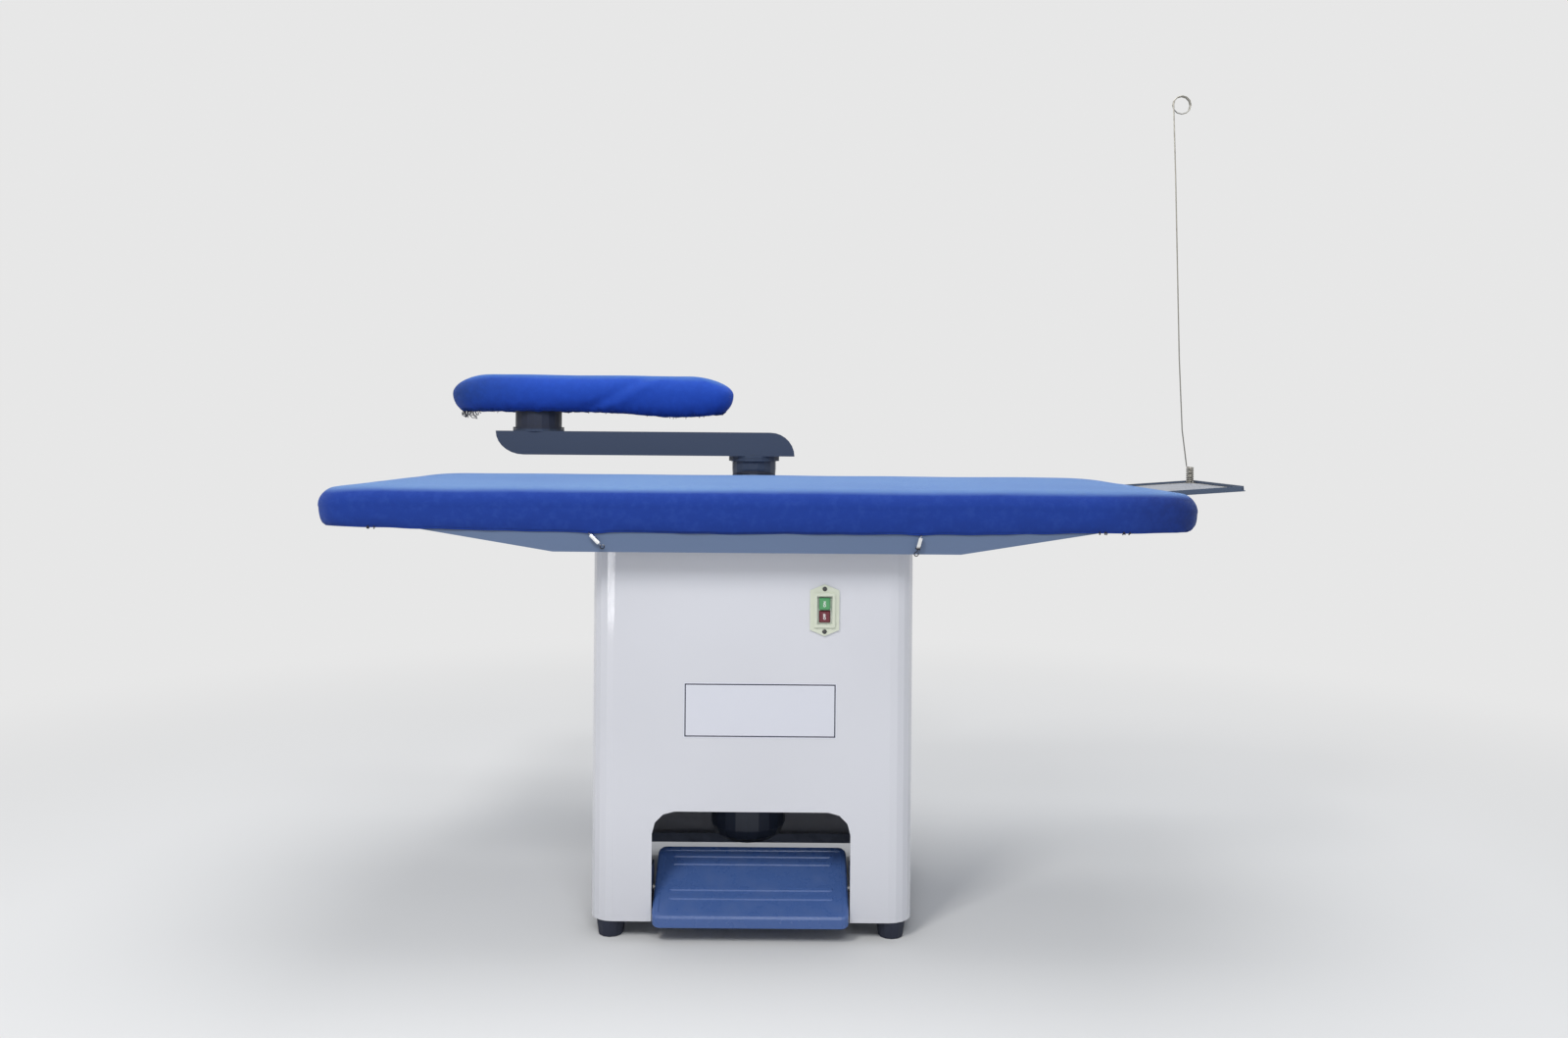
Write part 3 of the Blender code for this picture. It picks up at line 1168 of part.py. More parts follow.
def pedal_axle():
    """Axle across the pedal, headed at its left end and clipped at its right."""
    faces = bracket_faces()
    left = faces[0] - BRACKET_SHEET - FIT_GAP
    right = LINK_X + CRANK_SHEET / 2 + AXLE_RADIUS
    profile = [(0, left - AXLE_RADIUS), (AXLE_HEAD_RADIUS, left - AXLE_RADIUS)]
    profile += [(AXLE_HEAD_RADIUS, left), (AXLE_RADIUS, left), (AXLE_RADIUS, right), (0, right)]
    bar = placed(turned(profile, AXLE_SIDES), (0, AXLE_Y, AXLE_Z), SIDE_VIEW)
    piece("pedal_axle", bar, STEEL, "pedal", TURNED_SMOOTH)
    clip = ring(AXLE_RADIUS + FIT_GAP, AXLE_HEAD_RADIUS, AXLE_CLIP_THICKNESS, AXLE_SIDES)
    clip = placed(clip, (faces[1] + BRACKET_SHEET + FIT_GAP, AXLE_Y, AXLE_Z), SIDE_VIEW)
    piece("axle_clip", clip, BRIGHT_STEEL, "pedal")


def pedal_brackets():
    """Angle brackets behind the cabinet's front that carry the axle."""
    wall = CABINET_FRONT + CABINET_SHEET + FIT_GAP
    sheet = BRACKET_SHEET
    rear = AXLE_Y + BRACKET_BEHIND_AXLE
    bottom = AXLE_Z - BRACKET_BELOW_AXLE
    for label, side, face in zip(("left", "right"), (-1, 1), bracket_faces()):
        plan = [(face, wall), (face, rear), (face + side * sheet, rear)]
        plan += [(face + side * sheet, wall + sheet), (face + side * BRACKET_FLANGE, wall + sheet)]
        plan += [(face + side * BRACKET_FLANGE, wall)]
        angle = placed(plate(plan, BRACKET_HEIGHT), (0, 0, bottom))
        hole = pin(AXLE_RADIUS + FIT_GAP, sheet + CUT_OVERRUN * 2, AXLE_SIDES)
        start = face - CUT_OVERRUN - (sheet if side < 0 else 0)
        bracket = cut(angle, placed(hole, (start, AXLE_Y, AXLE_Z), SIDE_VIEW))
        piece("pedal_bracket_" + label, bracket, DARK_PAINT)


def lever_arm(length, angle, boss_radius, shaft_radius):
    """Flat arm round a shaft with a headed pin through its far end."""
    tip = CRANK_TIP_RADIUS
    outline = arc((0, 0), boss_radius, 90, 270, CORNER_STEPS * 2)
    outline += arc((length, 0), tip, -90, 90, CORNER_STEPS * 2)
    bore = circle(shaft_radius / flat_radius(1, AXLE_SIDES) + FIT_GAP, AXLE_SIDES)
    arm = placed(plate(outline, CRANK_SHEET, [bore]), (0, 0, -CRANK_SHEET / 2))
    reach = LINK_EYE_SHEET + FIT_GAP * 2
    profile = [(0, 0), (LINK_PIN_RADIUS, 0), (LINK_PIN_RADIUS, reach + BOSS_WELD)]
    profile += [(LINK_PIN_HEAD_RADIUS, reach + BOSS_WELD)]
    profile += [(LINK_PIN_HEAD_RADIUS, reach + BOSS_WELD + LINK_PIN_HEAD)]
    profile += [(0, reach + BOSS_WELD + LINK_PIN_HEAD)]
    stud = placed(turned(profile, AXLE_SIDES), (length, 0, CRANK_SHEET / 2 - BOSS_WELD))
    return placed(fused(arm, stud), turn=SIDE_VIEW @ Matrix.Rotation(angle, 4, "Z"))


def crank():
    """Arm on the axle's end that lifts the link when the pedal goes down."""
    arm = lever_arm(CRANK_LENGTH, -HALF_TRAVEL, CRANK_BOSS_RADIUS, AXLE_RADIUS)
    piece("crank", placed(arm, (LINK_X, AXLE_Y, AXLE_Z)), ZINC, "pedal")


def damper_lever():
    """Arm on the damper's spindle that the link turns."""
    angle = math.pi + HALF_SWING
    arm = lever_arm(LEVER_LENGTH, angle, CRANK_BOSS_RADIUS, DAMPER_SPINDLE_RADIUS)
    piece("damper_lever", placed(arm, (LINK_X, BLOWER_Y, DAMPER_HEIGHT)), ZINC, "damper")


def link_centre_x():
    """Middle plane of the link, beside the crank and the lever."""
    return LINK_X + CRANK_SHEET / 2 + FIT_GAP + LINK_EYE_SHEET / 2


def link_rod():
    """Upright rod with an eye at each end; the upper eye is the loose one."""
    x = link_centre_x()
    lower_bore = LINK_PIN_RADIUS + FIT_GAP
    upper_bore = LINK_PIN_RADIUS + LINK_TOP_CLEARANCE
    upper_y = LINK_Y - PIN_DRIFT / 2
    eyes = []
    places = ((LINK_EYE_RADIUS, LINK_Y, LINK_FOOT), (LINK_TOP_EYE_RADIUS, upper_y, LINK_HEAD))
    for radius, y, z in places:
        eye = pin(radius, LINK_EYE_SHEET, EYE_SIDES)
        eyes.append(placed(eye, (x - LINK_EYE_SHEET / 2, y, z), SIDE_VIEW))
    bottom = LINK_FOOT + (lower_bore + LINK_EYE_RADIUS) / 2
    top = LINK_HEAD - (upper_bore + LINK_TOP_EYE_RADIUS) / 2
    rod = placed(pin(LINK_ROD_RADIUS, top - bottom), (x, LINK_Y, bottom))
    collar = pin(SPRING_COLLAR_RADIUS, SPRING_COLLAR_THICKNESS)
    collar = placed(collar, (x, LINK_Y, SPRING_COLLAR_HEIGHT))
    bores = []
    for radius, y, z in ((lower_bore, LINK_Y, LINK_FOOT), (upper_bore, upper_y, LINK_HEAD)):
        bore = pin(radius, LINK_EYE_SHEET + CUT_OVERRUN * 2, AXLE_SIDES)
        start = x - LINK_EYE_SHEET / 2 - CUT_OVERRUN
        bores.append(placed(bore, (start, y, z), SIDE_VIEW))
    body = cut(fused(rod, collar, *eyes), *bores)
    piece("link_rod", body, ZINC, "link", TURNED_SMOOTH)


def guide_height():
    """Underside of the guide that the return spring pushes against."""
    return SPRING_COLLAR_HEIGHT + SPRING_COLLAR_THICKNESS + SPRING_FREE_LENGTH + FIT_GAP * 2


def return_spring():
    """Coil spring round the link, between its collar and the guide."""
    steps = SPRING_CURLS * SPRING_POINTS
    climb = SPRING_FREE_LENGTH - SPRING_WIRE_RADIUS * 2
    base = SPRING_COLLAR_HEIGHT + SPRING_COLLAR_THICKNESS + FIT_GAP + SPRING_WIRE_RADIUS
    points = []
    for i in range(steps + 1):
        angle = math.tau * SPRING_CURLS * i / steps
        x = link_centre_x() + SPRING_RADIUS * math.cos(angle)
        points.append((x, LINK_Y + SPRING_RADIUS * math.sin(angle), base + climb * i / steps))
    gap = climb / SPRING_CURLS - SPRING_WIRE_RADIUS * 2
    print("return spring, least gap between curls in mm:", round(gap * 1000, 3))
    piece("return_spring", tube(points, SPRING_WIRE_RADIUS), STEEL, smooth=TURNED_SMOOTH)


def link_guide():
    """Angle on the cabinet's right side that guides the link."""
    z = guide_height()
    right = CABINET_RIGHT - CABINET_SHEET - FIT_GAP
    left = link_centre_x() - GUIDE_PAST_ROD
    side = [(left, z), (right, z), (right, z + GUIDE_FLANGE)]
    side += [(right - GUIDE_SHEET, z + GUIDE_FLANGE), (right - GUIDE_SHEET, z + GUIDE_SHEET)]
    side += [(left, z + GUIDE_SHEET)]
    angle = placed(plate(side, GUIDE_WIDTH), (0, LINK_Y + GUIDE_WIDTH / 2, 0), FRONT_VIEW)
    hole = pin(LINK_ROD_RADIUS + GUIDE_HOLE_CLEARANCE, GUIDE_SHEET + CUT_OVERRUN * 2)
    hole = placed(hole, (link_centre_x(), LINK_Y, z - CUT_OVERRUN))
    piece("link_guide", cut(angle, hole), DARK_PAINT)


def damper():
    """Round flap on its spindle across the inlet duct."""
    radius = DUCT_RADIUS - DUCT_SHEET - DAMPER_RIM_CLEARANCE
    flap = placed(pin(radius, DAMPER_SHEET, ROUND_SIDES), (0, 0, -DAMPER_SHEET / 2))
    left = -DUCT_RADIUS - DAMPER_SPINDLE_OUT
    right = LINK_X - BLOWER_X + CRANK_SHEET / 2 + DAMPER_SPINDLE_RADIUS
    spindle = placed(pin(DAMPER_SPINDLE_RADIUS, right - left, AXLE_SIDES), (left, 0, 0), SIDE_VIEW)
    body = placed(fused(flap, spindle), (BLOWER_X, BLOWER_Y, DAMPER_HEIGHT))
    piece("damper_flap", body, ZINC, "damper", TURNED_SMOOTH)


def inlet_duct():
    """Flanged round duct from the scroll up to the pan's throat."""
    inner, outer = DUCT_RADIUS - DUCT_SHEET, DUCT_RADIUS
    bottom, top = SCROLL_TOP + FIT_GAP, PAN_BOTTOM - FIT_GAP
    wide, fold = DUCT_RADIUS + DUCT_FLANGE, DUCT_FLANGE_SHEET
    profile = [(inner, bottom), (wide, bottom), (wide, bottom + fold), (outer, bottom + fold)]
    profile += [(outer, top - fold), (wide, top - fold), (wide, top), (inner, top)]
    tube_wall = placed(turned(profile), (BLOWER_X, BLOWER_Y, 0))
    reach = DUCT_RADIUS * 2 + CUT_OVERRUN * 2
    hole = pin(DAMPER_SPINDLE_RADIUS + FIT_GAP, reach, AXLE_SIDES)
    hole = placed(hole, (BLOWER_X - reach / 2, BLOWER_Y, DAMPER_HEIGHT), SIDE_VIEW)
    piece("inlet_duct", cut(tube_wall, hole), ZINC, smooth=TURNED_SMOOTH)


def motor():
    """Finned motor body under the scroll, with a socket for its shaft."""
    outline = []
    root = MOTOR_RADIUS - MOTOR_FIN_DEPTH
    pitch = 360 / MOTOR_FINS
    for i in range(MOTOR_FINS):
        start = pitch * i
        crest = start + pitch * MOTOR_FIN_SHARE
        outline += arc((0, 0), MOTOR_RADIUS, start, crest, 1)
        draft = pitch * MOTOR_FIN_DRAFT_SHARE
        outline += arc((0, 0), root, crest + draft, start + pitch - draft, 1)
    core = (root - MOTOR_FIN_DEPTH / 2) / MOTOR_RADIUS
    bottom = COWL_BOTTOM + COWL_DOME + COWL_SHEET
    fins_top = MOTOR_TOP - MOTOR_FIN_DEPTH
    fins_bottom = fins_top - MOTOR_FIN_LENGTH
    levels = [(core, bottom), (core, fins_bottom), (1, fins_bottom)]
    levels += [(1, fins_top), (core, fins_top), (core, MOTOR_TOP)]
    rings = [[(x * share, y * share, z) for x, y in outline] for share, z in levels]
    floor = MOTOR_TOP - MOTOR_SHAFT_SOCKET
    socket = pin(MOTOR_SHAFT_RADIUS + FIT_GAP, SCROLL_BOTTOM - floor + CUT_OVERRUN, ROUND_SIDES)
    socket = placed(socket, (0, 0, floor))
    body = fused(skin(rings), motor_flange(), terminal_box(), *motor_studs())
    body = placed(cut(body, socket), (BLOWER_X, BLOWER_Y, 0))
    piece("motor", body, DARK_PAINT)


def motor_cowl():
    """Domed fan cowl under the motor, vented in the middle."""
    top = MOTOR_TOP - MOTOR_FIN_LENGTH - MOTOR_FIN_DEPTH - FIT_GAP
    outside, inside = [], []
    for sheet, profile in ((0, outside), (COWL_SHEET, inside)):
        radius, dome = COWL_RADIUS - sheet, COWL_DOME - sheet
        start = math.degrees(math.asin(COWL_VENT_RADIUS / COWL_RADIUS))
        for i in range(COWL_DOME_STEPS + 1):
            angle = math.radians(start + (90 - start) * i / COWL_DOME_STEPS)
            height = COWL_BOTTOM + COWL_DOME - dome * math.cos(angle)
            profile.append((radius * math.sin(angle), height))
        profile.append((radius, top))
    cowl = placed(turned(outside + inside[::-1]), (BLOWER_X, BLOWER_Y, 0))
    piece("motor_cowl", cowl, DARK_PAINT, smooth=TURNED_SMOOTH)


def motor_bolt_places():
    """Plan places of the bolts that hang the motor from the scroll."""
    places = circle(MOTOR_BOLT_CIRCLE, MOTOR_BOLTS * 2)
    return [(BLOWER_X + x, BLOWER_Y + y) for x, y in places[1::2]]


def motor_flange():
    """Wide flange at the motor's top, under the scroll."""
    bottom = MOTOR_TOP - MOTOR_FIN_DEPTH / 2
    flange = pin(MOTOR_FLANGE_RADIUS, SCROLL_BOTTOM - FIT_GAP - bottom, ROUND_SIDES)
    return placed(flange, (0, 0, bottom))


def motor_studs():
    """Studs with their nuts that hold the motor's flange to the scroll."""
    bottom = MOTOR_TOP
    grip = SCROLL_BOTTOM + SCROLL_SHEET + FIT_GAP
    studs = []
    for x, y in motor_bolt_places():
        profile = [(0, bottom), (BOLT_RADIUS, bottom), (BOLT_RADIUS, grip)]
        profile += [(BOLT_HEAD_RADIUS, grip), (BOLT_HEAD_RADIUS, grip + BOLT_HEAD_HEIGHT)]
        profile += [(0, grip + BOLT_HEAD_HEIGHT)]
        studs.append(placed(turned(profile, SMALL_SIDES), (x - BLOWER_X, y - BLOWER_Y, 0)))
    return studs


def terminal_box():
    """Cast box on the motor's back for its connections."""
    bottom = MOTOR_TOP - MOTOR_FIN_DEPTH - MOTOR_FIN_LENGTH / 2 - TERMINAL_BOX_HEIGHT / 2
    outline = rounded_rectangle(TERMINAL_BOX_WIDTH, TERMINAL_BOX_DEPTH, PEDAL_EDGE_ROUND, steps=2)
    return placed(plate(outline, TERMINAL_BOX_HEIGHT), (0, MOTOR_RADIUS - FIT_GAP, bottom))


def motor_shaft():
    """Shaft from the motor up through the impeller's hub, with its nut."""
    bottom = MOTOR_TOP - MOTOR_SHAFT_SOCKET + FIT_GAP
    top = impeller_floor() + IMPELLER_HUB_HEIGHT + SHAFT_NUT_HEIGHT + MOTOR_SHAFT_RADIUS
    shaft = placed(pin(MOTOR_SHAFT_RADIUS, top - bottom), (BLOWER_X, BLOWER_Y, bottom))
    piece("motor_shaft", shaft, STEEL, "impeller", TURNED_SMOOTH)
    bore = circle(MOTOR_SHAFT_RADIUS + FIT_GAP, SMALL_SIDES)
    nut = plate(circle(SHAFT_NUT_RADIUS, 6), SHAFT_NUT_HEIGHT, [bore])
    height = impeller_floor() + IMPELLER_HUB_HEIGHT + FIT_GAP
    piece("shaft_nut", placed(nut, (BLOWER_X, BLOWER_Y, height)), ZINC, "impeller")


def impeller_floor():
    """Underside of the impeller's back plate."""
    return SCROLL_BOTTOM + SCROLL_SHEET + IMPELLER_FLOOR_GAP


def blade_outline(turn):
    """One backward curved blade, seen from above."""
    sides = []
    for offset in (-IMPELLER_BLADE_SHEET / 2, IMPELLER_BLADE_SHEET / 2):
        side = []
        for i in range(IMPELLER_BLADE_STEPS + 1):
            share = i / IMPELLER_BLADE_STEPS
            radius = IMPELLER_EYE_RADIUS + (IMPELLER_RADIUS - IMPELLER_EYE_RADIUS - BLADE_FIT) * share
            angle = turn - math.radians(IMPELLER_BLADE_SWEEP) * share**2 + offset / radius
            side.append((radius * math.cos(angle), radius * math.sin(angle)))
        sides.append(side)
    return sides[0] + sides[1][::-1]


def impeller():
    """Back plate with its hub, curved blades and a ring round the eye."""
    sheet, height = IMPELLER_SHEET, IMPELLER_HEIGHT
    shaft = MOTOR_SHAFT_RADIUS + FIT_GAP
    back = [(shaft, 0), (IMPELLER_RADIUS, 0), (IMPELLER_RADIUS, sheet)]
    back += [(IMPELLER_HUB_RADIUS, sheet), (IMPELLER_HUB_RADIUS, IMPELLER_HUB_HEIGHT)]
    back += [(shaft, IMPELLER_HUB_HEIGHT)]
    wheel = turned(back, ROUND_SIDES)
    for i in range(IMPELLER_BLADES):
        blade = plate(blade_outline(math.tau * i / IMPELLER_BLADES), height - sheet)
        wheel = fused(wheel, placed(blade, (0, 0, sheet / 2)))
    eye = ring(IMPELLER_EYE_RADIUS + BLADE_FIT, IMPELLER_RADIUS, sheet, ROUND_SIDES)
    wheel = fused(wheel, placed(eye, (0, 0, height - sheet)))
    wheel = placed(wheel, (BLOWER_X, BLOWER_Y, impeller_floor()))
    piece("impeller", wheel, CAST_ALLOY, "impeller")


def scroll_outlet():
    """Left and right inner faces of the scroll's outlet."""
    x = SCROLL_SMALL_RADIUS * math.cos(math.radians(SCROLL_CUTOFF_ANGLE))
    return (BLOWER_X + x + SCROLL_SHEET, BLOWER_X + SCROLL_LARGE_RADIUS - SCROLL_SHEET)


def scroll_outline(wall, rear):
    """Volute that widens round to a straight outlet at the back."""
    outline = []
    for i in range(SCROLL_STEPS + 1):
        share = i / SCROLL_STEPS
        angle = math.radians(SCROLL_CUTOFF_ANGLE + (360 - SCROLL_CUTOFF_ANGLE) * share)
        radius = SCROLL_SMALL_RADIUS + (SCROLL_LARGE_RADIUS - SCROLL_SMALL_RADIUS) * share - wall
        outline.append((radius * math.cos(angle), radius * math.sin(angle)))
    left, right = (face - BLOWER_X for face in scroll_outlet())
    left -= SCROLL_SHEET - wall
    outline += [(outline[-1][0], rear), (left, rear)]
    return outline


def scroll():
    """Folded volute housing with its inlet above and its outlet behind."""
    rear = CABINET_REAR - CABINET_SHEET - FIT_GAP - BLOWER_Y
    shell = plate(scroll_outline(0, rear), SCROLL_HEIGHT)
    inside_height = SCROLL_HEIGHT - SCROLL_SHEET * 2
    inside = placed(plate(scroll_outline(SCROLL_SHEET, rear + CUT_OVERRUN), inside_height),
                    (0, 0, SCROLL_SHEET))
    eye = pin(IMPELLER_EYE_RADIUS, SCROLL_SHEET + CUT_OVERRUN * 2, ROUND_SIDES)
    eye = placed(eye, (0, 0, SCROLL_HEIGHT - SCROLL_SHEET - CUT_OVERRUN))
    shaft_hole = pin(SCROLL_SHAFT_HOLE, SCROLL_SHEET + CUT_OVERRUN * 2, SMALL_SIDES)
    holes = [placed(shaft_hole, (0, 0, -CUT_OVERRUN))]
    for x, y in motor_bolt_places():
        hole = pin(BOLT_RADIUS + FIT_GAP, SCROLL_SHEET + CUT_OVERRUN * 2)
        holes.append(placed(hole, (x - BLOWER_X, y - BLOWER_Y, -CUT_OVERRUN)))
    housing = cut(shell, inside, eye, *holes)
    piece("scroll", placed(housing, (BLOWER_X, BLOWER_Y, SCROLL_BOTTOM)), ZINC)


def blower_frame():
    """Channel rails across the cabinet that carry the scroll, tied by two bars."""
    parts = []
    length = CABINET_WIDTH - CABINET_SHEET * 2 - FIT_GAP * 2
    height, width, sheet = RAIL_HEIGHT, RAIL_WIDTH, RAIL_SHEET
    bottom = SCROLL_BOTTOM - FIT_GAP - height
    for side in (-1, 1):
        web = [(0, 0), (side * width, 0), (side * width, sheet), (side * sheet, sheet)]
        web += [(side * sheet, height - sheet), (side * width, height - sheet)]
        web += [(side * width, height), (0, height)]
        rail = placed(plate(web, length), turn=SIDE_VIEW)
        y = BLOWER_Y + side * RAIL_OFFSET_Y
        x = CABINET_CENTRE_X - length / 2
        parts.append(placed(rail, (x, y, bottom)))
        outer = LINK_X - CABINET_CENTRE_X - RAIL_TIE_LINK_GAP
        inner = outer - width
        reach = RAIL_OFFSET_Y + sheet / 2
        left, right = sorted((side * inner, side * outer))
        tie = plate(rectangle(left, -reach, right, reach), sheet * 2)
        parts.append(placed(tie, (CABINET_CENTRE_X, BLOWER_Y, bottom + sheet / 2)))
    piece("blower_frame", fused(*parts), DARK_PAINT)


def elbow_ring(bend, radius, along=0, lean=None):
    """Ring of the elbow at a bend angle in degrees; seams are cut on the mitre."""
    segment = 90 / ELBOW_SEAMS
    nearest = round(bend / segment) * segment
    spread_angle = math.radians(abs(bend - nearest))
    middle = math.radians(nearest if lean is None else lean)
    angle = math.radians(bend)
    points = []
    for x, side in circle(radius, ELBOW_SIDES):
        reach = (ELBOW_BEND_RADIUS + side) / math.cos(spread_angle)
        y = ELBOW_CENTRE_Y + reach * math.cos(angle) - along * math.sin(middle)
        z = ELBOW_BEND_HEIGHT - reach * math.sin(angle) - along * math.cos(middle)
        points.append((POST_X + x, y, z))
    return points


def elbow_radius(bend, sheet=0):
    """Radius of the elbow, which narrows towards the pan."""
    share = bend / 90
    return ELBOW_TOP_RADIUS + (ELBOW_MOUTH_RADIUS - ELBOW_TOP_RADIUS) * share - sheet


def elbow():
    """Bend of mitred pieces from the pan's back wall up to the post's top."""
    segment = 90 / ELBOW_SEAMS
    bends = [0] + [segment * (i + 0.5) for i in range(ELBOW_SEAMS)] + [90]
    surfaces = []
    for sheet in (0, ELBOW_SHEET):
        top_reach = ELBOW_BEND_HEIGHT - POST_FLANGE_HEIGHT - POST_FLANGE_THICKNESS / 2
        entry = ELBOW_CENTRE_Y - PAN_HALF_DEPTH + ELBOW_ENTRY
        rings = [elbow_ring(0, elbow_radius(0, sheet), top_reach, 0)]
        rings += [elbow_ring(bend, elbow_radius(bend, sheet)) for bend in bends]
        rings += [elbow_ring(90, elbow_radius(90, sheet), entry, 90)]
        surfaces.append(rings)
    bend = skin(surfaces[0] + surfaces[1][::-1], looped=True)
    piece("elbow", fused(bend, post_flange()), SLATE_PAINT, smooth=SHEET_SMOOTH)


def elbow_seal():
    """Black band over the elbow's uppermost seam."""
    segment = 90 / ELBOW_SEAMS
    bend = segment / 2
    section = []
    for lift in (FELT_GAP, FELT_GAP + SEAL_THICKNESS):
        radius = elbow_radius(bend) + lift
        above = elbow_ring(bend, radius, -SEAL_WIDTH / 2, 0)
        below = elbow_ring(bend, radius, SEAL_WIDTH / 2, segment)
        section.append([above, elbow_ring(bend, radius), below])
    band = skin(section[0] + section[1][::-1], looped=True)
    piece("elbow_seal", band, BLACK_RUBBER, smooth=TURNED_SMOOTH)


def post_flange():
    """Flange welded on the elbow that carries the swing arm."""
    flange = ring(ELBOW_TOP_RADIUS - ELBOW_SHEET / 2, POST_FLANGE_RADIUS,
                  POST_FLANGE_THICKNESS - FIT_GAP)
    flange = placed(flange, (POST_X, POST_Y, POST_FLANGE_HEIGHT + FIT_GAP))
    angle = math.radians(SWIVEL_SCREW_ANGLE)
    x, y = POST_X + POST_BOLT_CIRCLE * math.cos(angle), POST_Y + POST_BOLT_CIRCLE * math.sin(angle)
    hole = pin(POST_BOLT_RADIUS + FIT_GAP, POST_FLANGE_THICKNESS + CUT_OVERRUN * 2)
    return cut(flange, placed(hole, (x, y, POST_FLANGE_HEIGHT - CUT_OVERRUN)))


def swivel():
    """Washer between the two flanges, and the screw that limits the swing."""
    washer = ring(ELBOW_TOP_RADIUS - ELBOW_SHEET, POST_FLANGE_RADIUS, SWIVEL_WASHER_THICKNESS)
    washer = placed(washer, (POST_X, POST_Y, POST_FLANGE_TOP + FIT_GAP))
    piece("swivel_washer", washer, NYLON, smooth=TURNED_SMOOTH)
    angle = math.radians(SWIVEL_SCREW_ANGLE)
    x, y = POST_X + POST_BOLT_CIRCLE * math.cos(angle), POST_Y + POST_BOLT_CIRCLE * math.sin(angle)
    length = POST_FLANGE_THICKNESS
    bolt = hexagon_bolt(POST_BOLT_HEAD_RADIUS, POST_BOLT_HEAD_HEIGHT, POST_BOLT_RADIUS, length)
    flip = Matrix.Rotation(math.radians(180), 4, "X")
    piece("swivel_screw", placed(bolt, (x, y, POST_FLANGE_HEIGHT), flip), BRIGHT_STEEL)


def arm_spigot():
    """Turning flange and plug that reach down into the post, and their bore."""
    outer = flat_radius(ELBOW_TOP_RADIUS - ELBOW_SHEET, ELBOW_SIDES) - SPIGOT_CLEARANCE
    bottom = ELBOW_BEND_HEIGHT + FIT_GAP
    top = ARM_BOTTOM + ARM_SHEET / 2
    profile = [(0, bottom), (outer, bottom), (outer, SWIVEL_TOP)]
    profile += [(POST_FLANGE_RADIUS, SWIVEL_TOP), (POST_FLANGE_RADIUS, top), (0, top)]
    plug = placed(turned(profile), (POST_X, POST_Y, 0))
    depth = ARM_BOTTOM + ARM_SHEET - bottom + CUT_OVERRUN * 2
    bore = pin(outer - SPIGOT_SHEET, depth, ROUND_SIDES)
    return plug, placed(bore, (POST_X, POST_Y, bottom - CUT_OVERRUN))


def arm_outline(inset):
    """Side view of the arm: a curved nose below at the left, above at the right."""
    bottom, top = inset, ARM_HEIGHT - inset
    left, right = -ARM_LEFT_REACH + inset, ARM_RIGHT_REACH - inset
    outline = []
    for i in range(ARM_NOSE_STEPS + 1):
        angle = math.radians(90 * i / ARM_NOSE_STEPS)
        nose = ARM_LEFT_NOSE - inset
        outline.append((left + nose * (1 - math.cos(angle)), top - (top - bottom) * math.sin(angle)))
    for i in range(ARM_NOSE_STEPS + 1):
        angle = math.radians(90 * i / ARM_NOSE_STEPS)
        nose = ARM_RIGHT_NOSE - inset
        outline.append((right - nose * (1 - math.cos(angle)), bottom + (top - bottom) * math.sin(angle)))
    return outline


def buck_bearing():
    """Ring on the arm's end with a collar inside the buck's post, and its bore."""
    collar = flat_radius(BUCK_POST_RADIUS - BUCK_POST_SHEET) - SPIGOT_CLEARANCE
    bottom, face = ARM_TOP - ARM_SHEET / 2, ARM_TOP + FIT_GAP + BUCK_BEARING_THICKNESS
    top = face + BUCK_POST_HEIGHT / 2
    profile = [(0, bottom), (BUCK_FLANGE_RADIUS, bottom), (BUCK_FLANGE_RADIUS, face)]
    profile += [(collar, face), (collar, top), (0, top)]
    plug = placed(turned(profile), (BUCK_X, POST_Y, 0))
    depth = top - ARM_TOP + ARM_SHEET + CUT_OVERRUN * 2
    bore = pin(collar - BUCK_POST_SHEET * 2, depth, ROUND_SIDES)
    return plug, placed(bore, (BUCK_X, POST_Y, ARM_TOP - ARM_SHEET - CUT_OVERRUN))


def arm_duct():
    """Closed sheet duct that carries the suction out to the buck."""
    blocks = []
    for inset in (0, ARM_SHEET):
        width = ARM_WIDTH - inset * 2
        block = plate(arm_outline(inset), width)
        blocks.append(placed(block, (POST_X, POST_Y + width / 2, ARM_BOTTOM), FRONT_VIEW))
    spigot, lower = arm_spigot()
    bearing, upper = buck_bearing()
    arm = cut(fused(blocks[0], spigot, bearing), blocks[1], upper, lower)
    piece("arm_duct", arm, SLATE_PAINT, "arm")


def buck_post():
    """Turning tube with a flange at its foot, under the buck's pan."""
    inner, outer = BUCK_POST_RADIUS - BUCK_POST_SHEET, BUCK_POST_RADIUS
    bottom, top = BUCK_SWIVEL, BUCK_SOLE + BUCK_PAN_SOLE_LIFT - FIT_GAP
    fold = bottom + BUCK_FLANGE_THICKNESS
    profile = [(inner, bottom), (BUCK_FLANGE_RADIUS, bottom), (BUCK_FLANGE_RADIUS, fold)]
    profile += [(outer, fold), (outer, top), (inner, top)]
    post = placed(turned(profile), (BUCK_X, POST_Y, 0))
    piece("buck_post", post, SLATE_PAINT, "buck", TURNED_SMOOTH)


